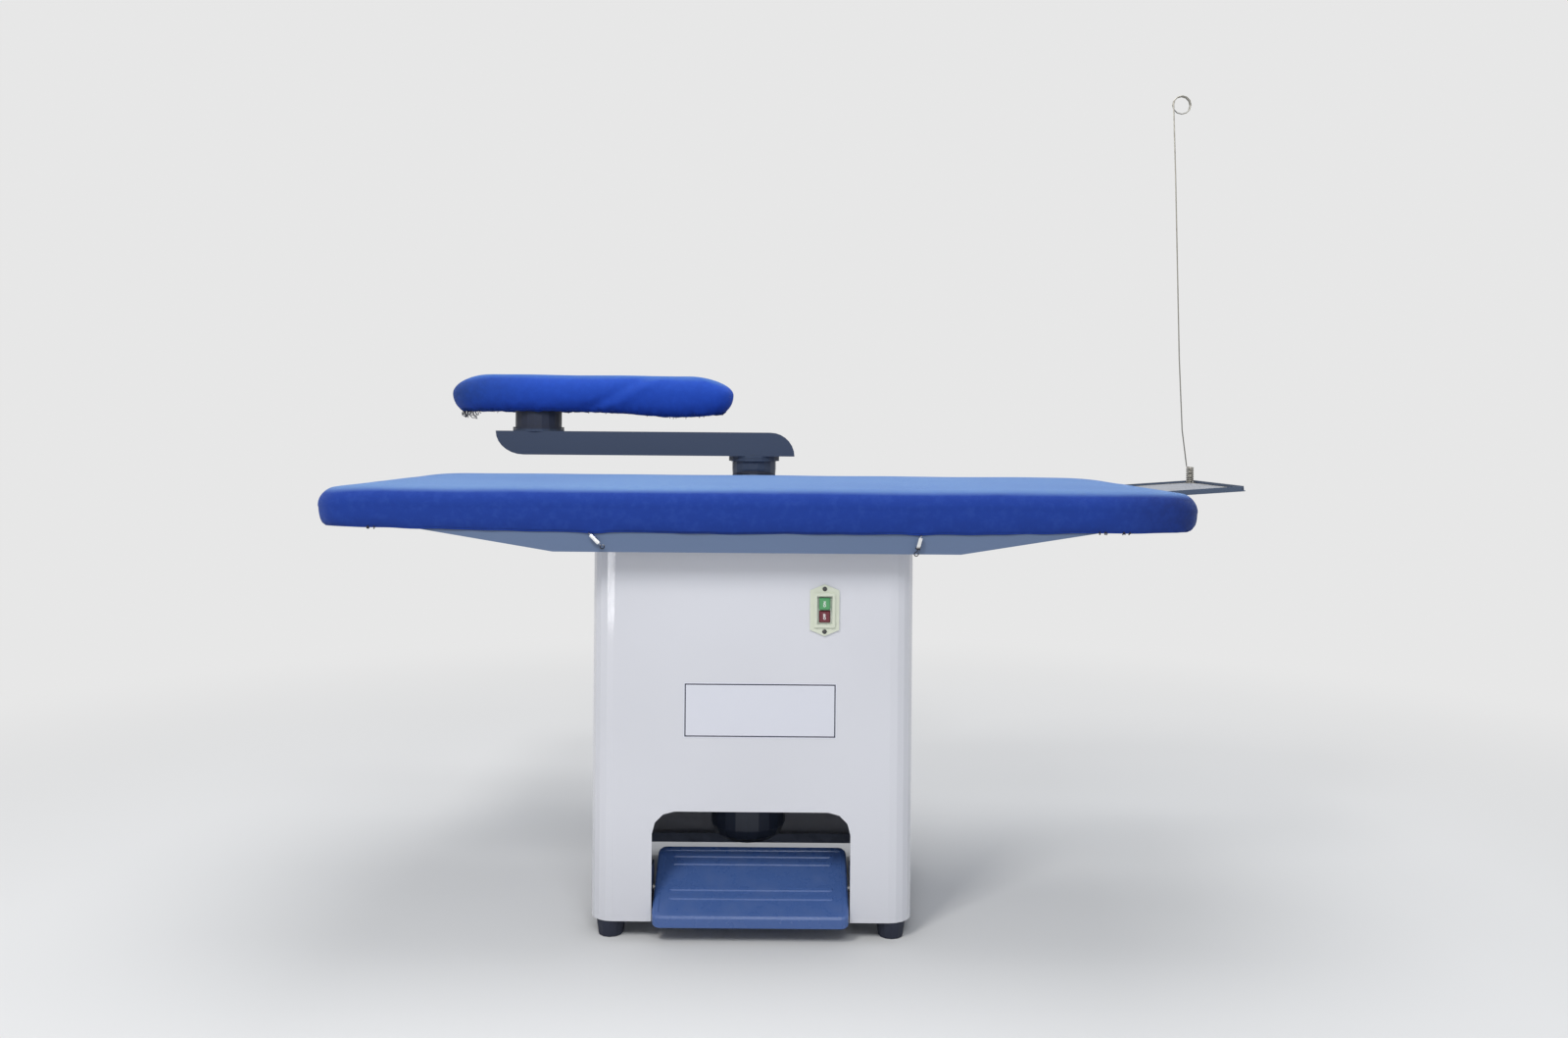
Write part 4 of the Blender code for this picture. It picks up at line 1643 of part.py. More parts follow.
def buck_outline(inset, left_stop=0, right_stop=0):
    """Plan of the buck: a broad round end, straight sides, a narrow round end."""
    left, right = BUCK_LEFT_RADIUS - inset, BUCK_RIGHT_RADIUS - inset
    left_centre, right_centre = BUCK_LEFT_CENTRE + left_stop, BUCK_RIGHT_CENTRE - right_stop
    span = right_centre - left_centre
    tilt = math.degrees(math.asin((BUCK_LEFT_RADIUS - BUCK_RIGHT_RADIUS) / span))
    face = 90 - tilt
    narrow = arc((right_centre, 0), right, -face, face, BUCK_END_STEPS)
    broad = arc((left_centre, 0), left, face, 360 - face, BUCK_END_STEPS + 2)
    outline = narrow[:-1] + spread(narrow[-1], broad[0], BUCK_SIDE_STEPS)
    outline += broad[:-1] + spread(broad[-1], narrow[0], BUCK_SIDE_STEPS)
    return [(BUCK_X + x, POST_Y + y) for x, y in outline]


def buck_core(inset):
    """Plan of the buck's pan and grid, which stop short of its noses."""
    return buck_outline(BUCK_PAN_INSET + inset, BUCK_CORE_LEFT_STOP, BUCK_CORE_RIGHT_STOP)


def nose_shift(x, turn):
    """How far a point slides towards the buck's middle as its noses round off."""
    left_tip = BUCK_X + BUCK_LEFT_CENTRE - BUCK_LEFT_RADIUS
    right_tip = BUCK_X + BUCK_RIGHT_CENTRE + BUCK_RIGHT_RADIUS
    into_left = max(0, 1 - (x - left_tip) / BUCK_NOSE_REACH) ** 2
    into_right = max(0, 1 - (right_tip - x) / BUCK_NOSE_REACH) ** 2
    slide = into_left * (BUCK_LEFT_NOSE_RUN - BUCK_EDGE_RUN)
    slide -= into_right * (BUCK_RIGHT_NOSE_RUN - BUCK_EDGE_RUN)
    return slide * (1 - math.cos(turn))


def buck_surface(offset, skipped=0):
    """Rings of the buck's rounded side up to its top, without its lowest rings."""
    half = BUCK_HEIGHT / 2
    belly_x = BUCK_X + BUCK_LEFT_CENTRE
    belly_x += (BUCK_RIGHT_CENTRE - BUCK_LEFT_CENTRE) * BUCK_BELLY_SHARE
    rings = []
    for i in range(skipped, BUCK_SIDE_RINGS + 1):
        angle = math.radians(BUCK_HEM_ANGLE + (90 - BUCK_HEM_ANGLE) * i / BUCK_SIDE_RINGS)
        inset = BUCK_EDGE_RUN - (BUCK_EDGE_RUN - offset) * math.cos(angle)
        height = half + (half - offset) * math.sin(angle)
        sag = BUCK_BELLY * max(0, -math.sin(angle))
        loop = []
        for x, y in buck_outline(inset):
            drop = sag * math.exp(-(((x - belly_x) / BUCK_BELLY_REACH) ** 2))
            loop.append((x + nose_shift(x, angle), y, BUCK_SOLE + height - drop))
        rings.append(loop)
    return rings


def buck_pan_rim():
    """Height of the buck pan's rim under its grid and felt."""
    return BUCK_SOLE + BUCK_HEIGHT - BUCK_CLOTH - BUCK_FELT - BUCK_GRID_SHEET - FIT_GAP * 3


def buck_cover():
    """Blue cloth round the buck, open below where its hem is drawn in."""
    outside = buck_surface(0)
    inside = buck_surface(BUCK_CLOTH)
    piece("buck_cover", skin(outside[::-1] + inside), BUCK_BLUE_CLOTH, "buck", SOFT_SMOOTH)


def buck_padding():
    """Felt over the buck's grid and down round its pan."""
    outside = buck_surface(BUCK_CLOTH + FELT_GAP, BUCK_FELT_SKIPS)
    ceiling = buck_pan_rim() + FIT_GAP * 2 + BUCK_GRID_SHEET
    floor = outside[0]
    outline = buck_core(-FIT_GAP)
    lower = [(x, y, low[2]) for (x, y), low in zip(outline, floor)]
    upper = [(x, y, ceiling) for x, y in outline]
    piece("buck_padding", skin(outside[::-1] + [lower, upper]), FELT, "buck", SOFT_SMOOTH)


def buck_pan():
    """Open pan inside the buck, on the post."""
    floor, rim = BUCK_SOLE + BUCK_PAN_SOLE_LIFT, buck_pan_rim()
    sheet = BUCK_PAN_SHEET
    levels = ((0, floor), (0, rim), (sheet, rim), (sheet, floor + sheet))
    rings = []
    for inset, z in levels:
        rings.append([(x, y, z) for x, y in buck_core(inset)])
    hole = pin(BUCK_POST_RADIUS - BUCK_POST_SHEET * 2, sheet + CUT_OVERRUN * 2, ROUND_SIDES)
    hole = placed(hole, (BUCK_X, POST_Y, floor - CUT_OVERRUN))
    piece("buck_pan", cut(skin(rings), hole), SLATE_PAINT, "buck")


def buck_grid():
    """Slotted sheet on the buck pan's rim."""
    slots = []
    first = BUCK_LEFT_CENTRE + BUCK_CORE_LEFT_STOP - BUCK_LEFT_RADIUS
    first += BUCK_PAN_INSET + BUCK_GRID_SLOT_PITCH
    last = BUCK_RIGHT_CENTRE - BUCK_CORE_RIGHT_STOP + BUCK_RIGHT_RADIUS
    last -= BUCK_PAN_INSET + BUCK_GRID_SLOT_MARGIN
    for i in range(int((last - first) / BUCK_GRID_SLOT_PITCH) + 1):
        x = first + i * BUCK_GRID_SLOT_PITCH
        share = (x - BUCK_LEFT_CENTRE) / (BUCK_RIGHT_CENTRE - BUCK_LEFT_CENTRE)
        share = min(max(share, 0), 1)
        half = BUCK_LEFT_RADIUS + (BUCK_RIGHT_RADIUS - BUCK_LEFT_RADIUS) * share
        half -= BUCK_PAN_INSET + BUCK_GRID_SLOT_MARGIN
        left, right = BUCK_X + x, BUCK_X + x + BUCK_GRID_SLOT_WIDTH
        slots.append(rectangle(left, POST_Y - half, right, POST_Y + half))
    sheet = plate(buck_core(0), BUCK_GRID_SHEET, slots)
    sheet = placed(sheet, (0, 0, buck_pan_rim() + FIT_GAP))
    piece("buck_grid", sheet, ZINC, "buck")


def tray_lean():
    """Turn of the tray's floor."""
    return Matrix.Rotation(math.radians(-TRAY_TILT), 4, "Y")


def tray_frame():
    """Placing of the tray's own flat frame, with its left edge at the origin."""
    floor = TRAY_TOP_LEFT - TRAY_RIM
    return Matrix.Translation((TRAY_LEFT, TRAY_CENTRE_Y, floor)) @ tray_lean()


def pole_place():
    """Foot of the pole on the tray's floor."""
    flat = Vector((TRAY_WIDTH - POLE_FROM_RIGHT, TRAY_DEPTH / 2 - POLE_FROM_BACK, TRAY_SHEET))
    return tray_frame() @ flat


def iron_tray():
    """Tray with four low rims that leave its corners open."""
    half = TRAY_DEPTH / 2
    tray = plate(rectangle(0, -half, TRAY_WIDTH, half), TRAY_SHEET)
    sheet, back = TRAY_SHEET, TRAY_RIM_SETBACK
    spans = [(0, -half + back, sheet, half - back)]
    spans += [(TRAY_WIDTH - sheet, -half + back, TRAY_WIDTH, half - back)]
    spans += [(back, -half, TRAY_WIDTH - back, -half + sheet)]
    spans += [(back, half - sheet, TRAY_WIDTH - back, half)]
    rims = [placed(plate(rectangle(*span), TRAY_RIM - sheet / 2), (0, 0, sheet / 2)) for span in spans]
    tray = placed(fused(tray, *rims), turn=tray_frame())
    tray = fused(tray, *tray_arms())
    x, y, z = pole_place()
    hole = pin(POLE_STUD_RADIUS + TRAY_SHEET / 2, CUT_OVERRUN * 3, ROUND_SIDES // 2)
    tray = cut(tray, placed(hole, (x, y, z - CUT_OVERRUN * 2)))
    piece("iron_tray", tray, SLATE_PAINT)


def tray_mat():
    """Heat proof mat on the tray's floor, cut out round the pole's foot."""
    inset = TRAY_SHEET + TRAY_MAT_MARGIN
    half = TRAY_DEPTH / 2 - inset
    mat = plate(rectangle(inset, -half, TRAY_WIDTH - inset, half), TRAY_MAT_THICKNESS)
    mat = placed(placed(mat, (0, 0, TRAY_SHEET + FIT_GAP)), turn=tray_frame())
    x, y, z = pole_place()
    hole = pin(POLE_COLLAR_RADIUS + TRAY_SHEET / 2, CUT_OVERRUN * 4, ROUND_SIDES // 2)
    mat = cut(mat, placed(hole, (x, y, z - CUT_OVERRUN)))
    piece("tray_mat", mat, SILVER_MAT)


def strip_outline(path, thickness):
    """Closed outline of a bent strip, with its path along the upper side."""
    lower = []
    for i, point in enumerate(path):
        before, after = path[max(i - 1, 0)], path[min(i + 1, len(path) - 1)]
        first = math.atan2(point[1] - before[1], point[0] - before[0]) if i else None
        second = math.atan2(after[1] - point[1], after[0] - point[0])
        second = second if i < len(path) - 1 else first
        first = second if first is None else first
        middle, half_turn = (first + second) / 2, (second - first) / 2
        reach = thickness / math.cos(half_turn)
        lower.append((point[0] + reach * math.sin(middle), point[1] - reach * math.cos(middle)))
    return list(path) + lower[::-1]


def pan_underside(x):
    """Height of the pan's sloping underside at a place along the board."""
    slope = (PAN_DEEP_WALL - PAN_END_WALL) / (PAN_HALF_LENGTH - PAN_FLAT_LENGTH / 2)
    return PAN_BOTTOM + max(0, x - PAN_FLAT_LENGTH / 2) * slope


def tray_arm_path():
    """Upper side of a tray arm, from under the pan to under the tray."""
    outer = PAN_HALF_LENGTH - TRAY_ARM_FROM_PAN_END
    inner = outer - TRAY_ARM_ON_PAN
    hem = BOARD_TOP - HEM_DROP + HEM_RISE_AT_ENDS - TRAY_ARM_HEM_GAP
    path = [(inner, pan_underside(inner) - FIT_GAP), (outer, pan_underside(outer) - FIT_GAP)]
    path.append((BOARD_LENGTH / 2 + TRAY_ARM_HEM_GAP, hem))
    for along in (TRAY_ARM_SHEET, TRAY_ARM_UNDER_TRAY):
        point = tray_frame() @ Vector((along, 0, TRAY_SHEET / 2))
        path.append((point.x, point.z))
    return path


def tray_bolt_frames():
    """Placings of the tray's bolts on the upper side of its arms."""
    first, second = tray_arm_path()[:2]
    slope = math.atan2(second[1] - first[1], second[0] - first[0])
    mid_x, mid_z = (first[0] + second[0]) / 2, (first[1] + second[1]) / 2
    frames = []
    for side in (-1, 1):
        y = TRAY_CENTRE_Y + side * TRAY_ARM_SPACING / 2
        frames.append(Matrix.Translation((mid_x, y, mid_z)) @ Matrix.Rotation(-slope, 4, "Y"))
    return frames


def tray_arms():
    """Bent bars welded under the tray that reach in below the pan."""
    bars = []
    for side, frame in zip((-1, 1), tray_bolt_frames()):
        bar = plate(strip_outline(tray_arm_path(), TRAY_ARM_SHEET), TRAY_ARM_WIDTH)
        far = TRAY_CENTRE_Y + side * TRAY_ARM_SPACING / 2 + TRAY_ARM_WIDTH / 2
        bar = placed(bar, (0, far, 0), FRONT_VIEW)
        hole = pin(BOLT_RADIUS + FIT_GAP, TRAY_ARM_SHEET + CUT_OVERRUN * 2)
        hole = placed(hole, (0, 0, -TRAY_ARM_SHEET - CUT_OVERRUN))
        bars.append(cut(bar, placed(hole, turn=frame)))
    return bars


def mounting_bolts():
    """Bolts of the fixing lug and of the tray's arms, from below."""
    flip = Matrix.Rotation(math.radians(180), 4, "X")
    lug_bottom = PAN_BOTTOM - FIT_GAP * 2 - LUG_THICKNESS
    lower = Matrix.Translation((0, 0, -TRAY_ARM_SHEET - FIT_GAP))
    front, rear = (frame @ lower for frame in tray_bolt_frames())
    places = (
        ("lug_bolt", Matrix.Translation((*lug_bolt_place(), lug_bottom)), LUG_THICKNESS),
        ("tray_bolt_front", front, TRAY_ARM_SHEET),
        ("tray_bolt_rear", rear, TRAY_ARM_SHEET),
    )
    for name, place, grip in places:
        length = grip + PAN_SHEET + BOLT_END
        bolt = hexagon_bolt(BOLT_HEAD_RADIUS, BOLT_HEAD_HEIGHT, BOLT_RADIUS, length)
        piece(name, placed(bolt, turn=place @ flip), ZINC)


def pole_stud():
    """Stud riveted through the tray that the pole's coil sits on."""
    x, y, z = pole_place()
    coil = POLE_COIL_PITCH * POLE_COIL_TURNS
    shaft, wide, collar = POLE_STUD_RADIUS, POLE_COLLAR_RADIUS, POLE_COLLAR_HEIGHT
    rivet = -TRAY_SHEET - FIT_GAP * 4
    profile = [(0, rivet - collar / 2), (wide, rivet - collar / 2), (wide, rivet)]
    profile += [(shaft, rivet), (shaft, FIT_GAP * 4), (wide, FIT_GAP * 4), (wide, collar)]
    profile += [(shaft, collar), (shaft, collar + coil / 2), (0, collar + coil / 2)]
    stud = placed(turned(profile, SMALL_SIDES), (x, y, z))
    piece("pole_stud", stud, ZINC, smooth=TURNED_SMOOTH)


def pole_coil_base():
    """Centre of the wire where the coil starts, above the stud's collar."""
    x, y, z = pole_place()
    return Vector((x, y, z + POLE_COLLAR_HEIGHT + POLE_WIRE_RADIUS + FIT_GAP))


def pole_coil():
    """Close coil of the spring pole round its stud."""
    base = pole_coil_base()
    steps = POLE_COIL_TURNS * POLE_COIL_POINTS
    points = []
    for i in range(steps + 1):
        angle = math.pi + math.tau * (i - steps) / POLE_COIL_POINTS
        side = Vector((math.cos(angle), math.sin(angle), 0)) * POLE_COIL_RADIUS
        points.append(base + side + Vector((0, 0, POLE_COIL_PITCH * i / POLE_COIL_POINTS)))
    gap = POLE_COIL_PITCH - POLE_WIRE_RADIUS * 2
    print("pole coil, least gap between curls in mm:", round(gap * 1000, 3))
    piece("pole_coil", tube(points, POLE_WIRE_RADIUS), STEEL, smooth=TURNED_SMOOTH)


def pole_wire():
    """Tall spring wire from the coil's top to the eye that holds the hose."""
    top = pole_coil_base() + Vector((-POLE_COIL_RADIUS, 0, POLE_COIL_PITCH * POLE_COIL_TURNS))
    start = top + Vector((0, 0, POLE_WIRE_RADIUS + FIT_GAP))
    points = [start]
    for rise_share, lean_share in zip(POLE_BEND_SHARES[1:], POLE_LEAN_SHARES[1:]):
        points.append(start + Vector((-POLE_LEAN * lean_share, 0, POLE_HEIGHT * rise_share)))
    steps = round(POLE_EYE_TURNS * POLE_EYE_POINTS)
    foot = points[-1]
    for i in range(1, steps + 1):
        angle = math.tau * i / POLE_EYE_POINTS
        side = Vector((math.sin(angle / 2) ** 2 * 2, 0, math.sin(angle)))
        away = Vector((0, POLE_EYE_RISE * i / steps, 0))
        points.append(foot + side * POLE_EYE_RADIUS + away)
    piece("pole_wire", tube(points, POLE_WIRE_RADIUS), STEEL, "pole", TURNED_SMOOTH)


PIVOTS["pole"] = tuple(pole_coil_base() + Vector((0, 0, POLE_COIL_PITCH * POLE_COIL_TURNS / 2)))


def stand_on_origin():
    """Put the middle of the model's footprint on the world origin."""
    bpy.context.view_layer.update()
    pieces = [item for item in bpy.data.objects if item.type == "MESH"]
    corners = [item.matrix_world @ vertex.co for item in pieces for vertex in item.data.vertices]
    lows = [min(corner[axis] for corner in corners) for axis in range(3)]
    highs = [max(corner[axis] for corner in corners) for axis in range(3)]
    root = bpy.data.objects.new("table_frame", None)
    bpy.context.scene.collection.objects.link(root)
    root.location = (-(lows[0] + highs[0]) / 2, -(lows[1] + highs[1]) / 2, -lows[2])
    for item in pieces:
        item.parent = root
    bpy.context.view_layer.update()


def main():
    """Build every piece, group by group, then set the origin."""
    clear_scene()
    for build in (
        board_cover, board_padding, work_grid, vacuum_pan, cover_hooks,
        cabinet, fixing_lug, rear_panel, panel_screws, cable_gland, base_frame, feet,
        switch_plate, switch_body, buttons,
        pedal, pedal_axle, pedal_brackets, crank, damper_lever, link_rod, return_spring,
        link_guide, damper, inlet_duct,
        motor, motor_cowl, motor_shaft, impeller, scroll, blower_frame,
        elbow, elbow_seal, swivel, arm_duct,
        buck_post, buck_pan, buck_grid, buck_padding, buck_cover,
        iron_tray, tray_mat, mounting_bolts, pole_stud, pole_coil, pole_wire,
    ):
        build()
    stand_on_origin()


main()
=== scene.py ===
"""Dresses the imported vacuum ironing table: cloth, felt, paint, metal, trim, light and camera."""
import math
import random

import bpy
from mathutils import Matrix, Vector, noise


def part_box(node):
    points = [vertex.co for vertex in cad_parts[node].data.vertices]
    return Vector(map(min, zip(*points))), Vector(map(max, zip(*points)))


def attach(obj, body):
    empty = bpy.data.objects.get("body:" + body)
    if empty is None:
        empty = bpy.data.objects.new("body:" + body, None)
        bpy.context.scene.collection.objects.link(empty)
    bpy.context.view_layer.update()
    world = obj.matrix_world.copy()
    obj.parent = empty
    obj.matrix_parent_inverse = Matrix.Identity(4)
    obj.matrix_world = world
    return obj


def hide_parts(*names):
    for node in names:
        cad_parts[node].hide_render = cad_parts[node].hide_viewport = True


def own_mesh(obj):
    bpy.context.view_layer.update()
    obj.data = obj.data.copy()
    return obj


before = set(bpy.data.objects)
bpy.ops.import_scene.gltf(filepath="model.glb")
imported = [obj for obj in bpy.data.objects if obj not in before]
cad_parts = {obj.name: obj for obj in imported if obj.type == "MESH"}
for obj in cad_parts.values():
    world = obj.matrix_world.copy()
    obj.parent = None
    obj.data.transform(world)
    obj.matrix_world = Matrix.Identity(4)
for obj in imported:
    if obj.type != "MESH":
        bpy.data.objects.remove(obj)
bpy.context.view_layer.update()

# Every size is in metres. TABLE is the middle of the board's plan, BUCK the middle of the buck's post.
BOARD_LOW, BOARD_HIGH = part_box("board_cover")
TABLE = Vector(((BOARD_LOW.x + BOARD_HIGH.x) / 2, (BOARD_LOW.y + BOARD_HIGH.y) / 2, 0))
BUCK = sum(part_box("buck_post"), Vector()) / 2
UP = Vector((0, 0, 1))
# Rays of these kinds see the pale background. All others see the studio's light.
BACKGROUND_RAYS = ("Is Camera Ray", "Is Glossy Ray", "Is Transmission Ray")
BACKGROUND_GREY = (0.80, 0.80, 0.80)


class Signal:
    """One socket of a tree of nodes, with the arithmetic of ordinary numbers."""

    def __init__(self, nodes, socket):
        self.nodes = nodes
        self.socket = socket

    def _with(self, operation, first, second):
        values = (first, second)
        sockets = [v.socket for v in values if isinstance(v, Signal)]
        wide = any(s.type in ("RGBA", "VECTOR") for s in sockets)
        wide = wide or any(isinstance(v, (tuple, Vector)) for v in values)
        if not wide:
            return self.nodes.node("Math", {"operation": operation}, first, second)
        if operation == "MULTIPLY" and isinstance(second, (int, float)):
            second = (second,) * 3
        return self.nodes.node("VectorMath", {"operation": operation}, first, second)

    def __add__(self, other):
        return self._with("ADD", self, other)

    def __radd__(self, other):
        return self._with("ADD", other, self)

    def __sub__(self, other):
        return self._with("SUBTRACT", self, other)

    def __rsub__(self, other):
        return self._with("SUBTRACT", other, self)

    def __mul__(self, other):
        return self._with("MULTIPLY", self, other)

    def __rmul__(self, other):
        return self._with("MULTIPLY", self, other)

    def __truediv__(self, other):
        return self._with("DIVIDE", self, other)

    def __rtruediv__(self, other):
        return self._with("DIVIDE", other, self)

    def __pow__(self, other):
        return self._with("POWER", self, other)

    def __gt__(self, other):
        return self._with("GREATER_THAN", self, other)

    def sine(self):
        return self.nodes.node("Math", {"operation": "SINE"}, self)

    def size(self):
        return self.nodes.node("Math", {"operation": "ABSOLUTE"}, self)

    def clamped(self):
        return self.nodes.node("Clamp", {}, self)

    def ramp(self, low, high, start=0, end=1):
        """The signal carried smoothly from start at low to end at high."""
        settings = {"interpolation_type": "SMOOTHSTEP"}
        return self.nodes.node("MapRange", settings, self, low, high, start, end)


class Nodes:
    """A tree of shader nodes, and the one way in which nodes are added to it."""

    def __init__(self, tree):
        self.tree = tree

    def node(self, kind, settings, *places, output=None, **named):
        """A new node with its settings, then the values or links of its sockets."""
        made = self.tree.nodes.new("ShaderNode" + kind)
        for key, value in settings.items():
            setattr(made, key, value)
        free = [s for s in made.inputs if s.enabled]
        for socket, value in zip(free, places):
            self.feed(socket, value)
        for name, value in named.items():
            self.feed(next(s for s in free if s.name == name), value)
        results = [s for s in made.outputs if s.enabled]
        return Signal(self, made.outputs[output] if output else results[0])

    def feed(self, socket, value):
        """Links a signal to a socket, or sets a plain value on it."""
        if isinstance(value, Signal):
            self.tree.links.new(value.socket, socket)
        elif socket.type == "RGBA" and len(value) == 3:
            socket.default_value = (*value, 1)
        else:
            socket.default_value = value

    def background_share(self):
        """1 for a ray that sees the background, and 0 for one that sees the studio's light."""
        return sum(self.node("LightPath", {}, output=ray) for ray in BACKGROUND_RAYS).clamped()


class Finish(Nodes):
    """The nodes of one material, made round its main shader."""

    def __init__(self, name, **constants):
        self.material = bpy.data.materials.new(name)
        self.material.use_nodes = True
        super().__init__(self.material.node_tree)
        self.shader = self.tree.nodes["Principled BSDF"]
        self.place = self.node("TexCoord", {}, output="Object")
        self.x, self.y, self.z = (self.node("SeparateXYZ", {}, self.place, output=a) for a in "XYZ")
        for key, value in constants.items():
            self.feed(self.shader.inputs[key.replace("_", " ")], value)

    def mix(self, amount, first, second):
        return self.node("Mix", {"data_type": "RGBA"}, amount, A=first, B=second)

    def noise(self, scale, detail=3, roughness=0.5, stretch=None, distortion=0):
        place = self.place if stretch is None else self.place * stretch
        values = {"Vector": place, "Scale": scale, "Detail": detail}
        values |= {"Roughness": roughness, "Distortion": distortion}
        return self.node("TexNoise", {}, **values)

    def cells(self, scale):
        """Irregular cells, each with one number of its own."""
        colours = self.node("TexVoronoi", {}, Vector=self.place, Scale=scale, output="Color")
        return self.node("SeparateColor", {}, colours)

    def facing(self, axis):
        """How far the surface faces along an axis: Z is 1 on top and -1 below."""
        normal = self.node("NewGeometry", {}, output="Normal")
        return self.node("SeparateXYZ", {}, normal, output=axis)

    def done(self, colour, roughness, height=None, depth=0.001, metal=None):
        """Feeds the shader with what changes over the surface."""
        self.feed(self.shader.inputs["Base Color"], colour)
        self.feed(self.shader.inputs["Roughness"], roughness)
        if metal is not None:
            self.feed(self.shader.inputs["Metallic"], metal)
        if height is not None:
            bump = self.node("Bump", {}, Height=height, Distance=depth, Strength=1.0)
            self.feed(self.shader.inputs["Normal"], bump)
        return self.material


def scaled(colour, share):
    """A colour made darker or lighter."""
    return tuple(c * share for c in colour)


def woven_cloth(name, deep, top_sheen_colour, sheen, end_shade, end_shade_from, end_shade_to):
    """Plain-weave cotton with a painted sheen that makes the top paler, painted shade towards one end and on
    the undersides, and slow shading of the dye.
    """
    thread_pitch = 0.0011
    cloth = Finish(
        name, Sheen_Weight=sheen, Sheen_Roughness=0.35, Sheen_Tint=(0.45, 0.62, 1.0), Specular_IOR_Level=0.18
    )
    pace = math.tau / thread_pitch
    warp = (cloth.x * pace).sine() * ((cloth.y + cloth.z) * pace).sine()
    slubs = cloth.noise(900, 2, stretch=(0.08, 1, 1))
    dye = cloth.noise(2.2, 4, 0.55)
    fine = cloth.noise(60, 4, 0.65)
    # Painted sheen: faces that look up are mixed towards the paler top colour. The amount also carries
    # random dye tone.
    top = cloth.facing("Z").ramp(0.62, 0.98)
    sheen_and_tone = (top * (0.55 + dye * 0.75) + (fine - 0.5) * 0.25).clamped()
    shade = cloth.mix(sheen_and_tone, deep, top_sheen_colour)
    # Painted shade: the sides darken towards one end.
    shade = cloth.mix(cloth.x.ramp(end_shade_from, end_shade_to) * (1 - top), shade, end_shade)
    # Painted shade: faces that look down are darker.
    underside_shade = (cloth.facing("Z") * -1).ramp(0.05, 0.9)
    shade = cloth.mix(underside_shade, shade, scaled(deep, 0.62))
    shade = cloth.mix(fine.ramp(0.35, 0.7) * 0.16 + slubs * 0.10, shade, scaled(deep, 1.5))
    height = warp * 0.35 + slubs * 0.5 + fine * 0.8
    return cloth.done(shade, 0.78 + fine * 0.14, height, 0.00035)


def felt(name, colour):
    """Pressed wool felt with short crossed hairs."""
    wool = Finish(name, Sheen_Weight=0.3)
    hairs = wool.noise(700, 4, 0.7, stretch=(1, 0.35, 1), distortion=2)
    tufts = wool.noise(90, 3)
    shade = wool.mix(tufts * 0.6 + hairs * 0.4, scaled(colour, 0.72), colour)
    return wool.done(shade, 0.93, hairs * 0.7 + tufts, 0.0006)


def enamel(name, colour, gloss, dust=0.25, peel=0.00012, chips=0.0, coat=0.0):
    """Sprayed paint on sheet steel: orange peel, dust on ledges, a few chips."""
    dust_colour = (0.42, 0.41, 0.39)
    paint = Finish(name, Coat_Weight=coat, Coat_Roughness=0.09)
    skin_peel = paint.noise(330, 2, 0.45)
    slow = paint.noise(3, 1)
    grime = paint.noise(28, 4, 0.6)
    shade = paint.mix(slow.ramp(0.3, 0.75), scaled(colour, 0.96), colour)
    ledge = paint.facing("Z").ramp(0.55, 1.0) * grime.ramp(0.4, 0.8)
    shade = paint.mix(ledge * dust, shade, dust_colour)
    rough = gloss + grime * 0.06 + ledge * 0.2
    metal = None
    if chips:
        bare_steel = (0.30, 0.30, 0.31)
        chip = (paint.noise(75, 3, 0.7) > 1 - chips) * (paint.noise(9, 2) > 0.55)
        shade = paint.mix(chip, shade, bare_steel)
        metal = chip * 0.9
    return paint.done(shade, rough, skin_peel + grime * 0.3, peel, metal)


def galvanised(name, colour):
    """Zinc-dipped sheet with large soft spangles and drawing marks."""
    zinc = Finish(name, Metallic=1.0)
    streak = zinc.noise(160, 3, stretch=(0.1, 1, 1))
    mark = (zinc.cells(55) * 0.6 + streak * 0.4).clamped()
    shade = zinc.mix(mark, scaled(colour, 0.72), colour)
    return zinc.done(shade, 0.30 + mark * 0.22, streak, 0.00006)


def turned_metal(name, colour, rough, tarnish=(0.20, 0.17, 0.13)):
    """Plated or bare steel with fine drawing lines and a little tarnish."""
    steel = Finish(name, Metallic=1.0)
    lines = steel.noise(420, 3, stretch=(1, 1, 0.15))
    stain = steel.noise(35, 4, 0.6).ramp(0.52, 0.82)
    shade = steel.mix(stain * 0.45, colour, tarnish)
    return steel.done(shade, rough + lines * 0.14 + stain * 0.2, lines, 0.00004)


def hook_steel(name, low, high):
    """Bright plated barrel with a blackened foot and eye."""
    black, bright = (0.045, 0.045, 0.055), (0.86, 0.87, 0.88)
    steel = Finish(name, Metallic=1.0)
    height = (steel.z - low.z) / (high.z - low.z)
    barrel = height.ramp(0.16, 0.34) * height.ramp(0.97, 0.86)
    lines = steel.noise(420, 3)
    shade = steel.mix(barrel, black, bright)
    return steel.done(shade, 0.2 + lines * 0.1, lines, 0.00004)


def cast_metal(name, colour):
    """Sand-cast alloy: pitted skin, darker in its hollows."""
    cast = Finish(name, Metallic=1.0)
    pits = cast.noise(260, 4, 0.7)
    lumps = cast.noise(38, 2)
    shade = cast.mix(pits.ramp(0.35, 0.65), scaled(colour, 0.7), colour)
    return cast.done(shade, 0.5 + lumps * 0.15, pits + lumps, 0.00025)


def moulded(name, colour, rough=0.45, grain=0.00008, coat=0.0):
    """Moulded plastic or rubber with a fine spark-eroded grain."""
    plastic = Finish(name, Coat_Weight=coat)
    speck = plastic.noise(800, 2, 0.6)
    smear = plastic.noise(30, 3)
    shade = plastic.mix(smear * 0.5, colour, tuple(min(1, c * 1.25 + 0.006) for c in colour))
    return plastic.done(shade, rough + smear * 0.14, speck, grain)


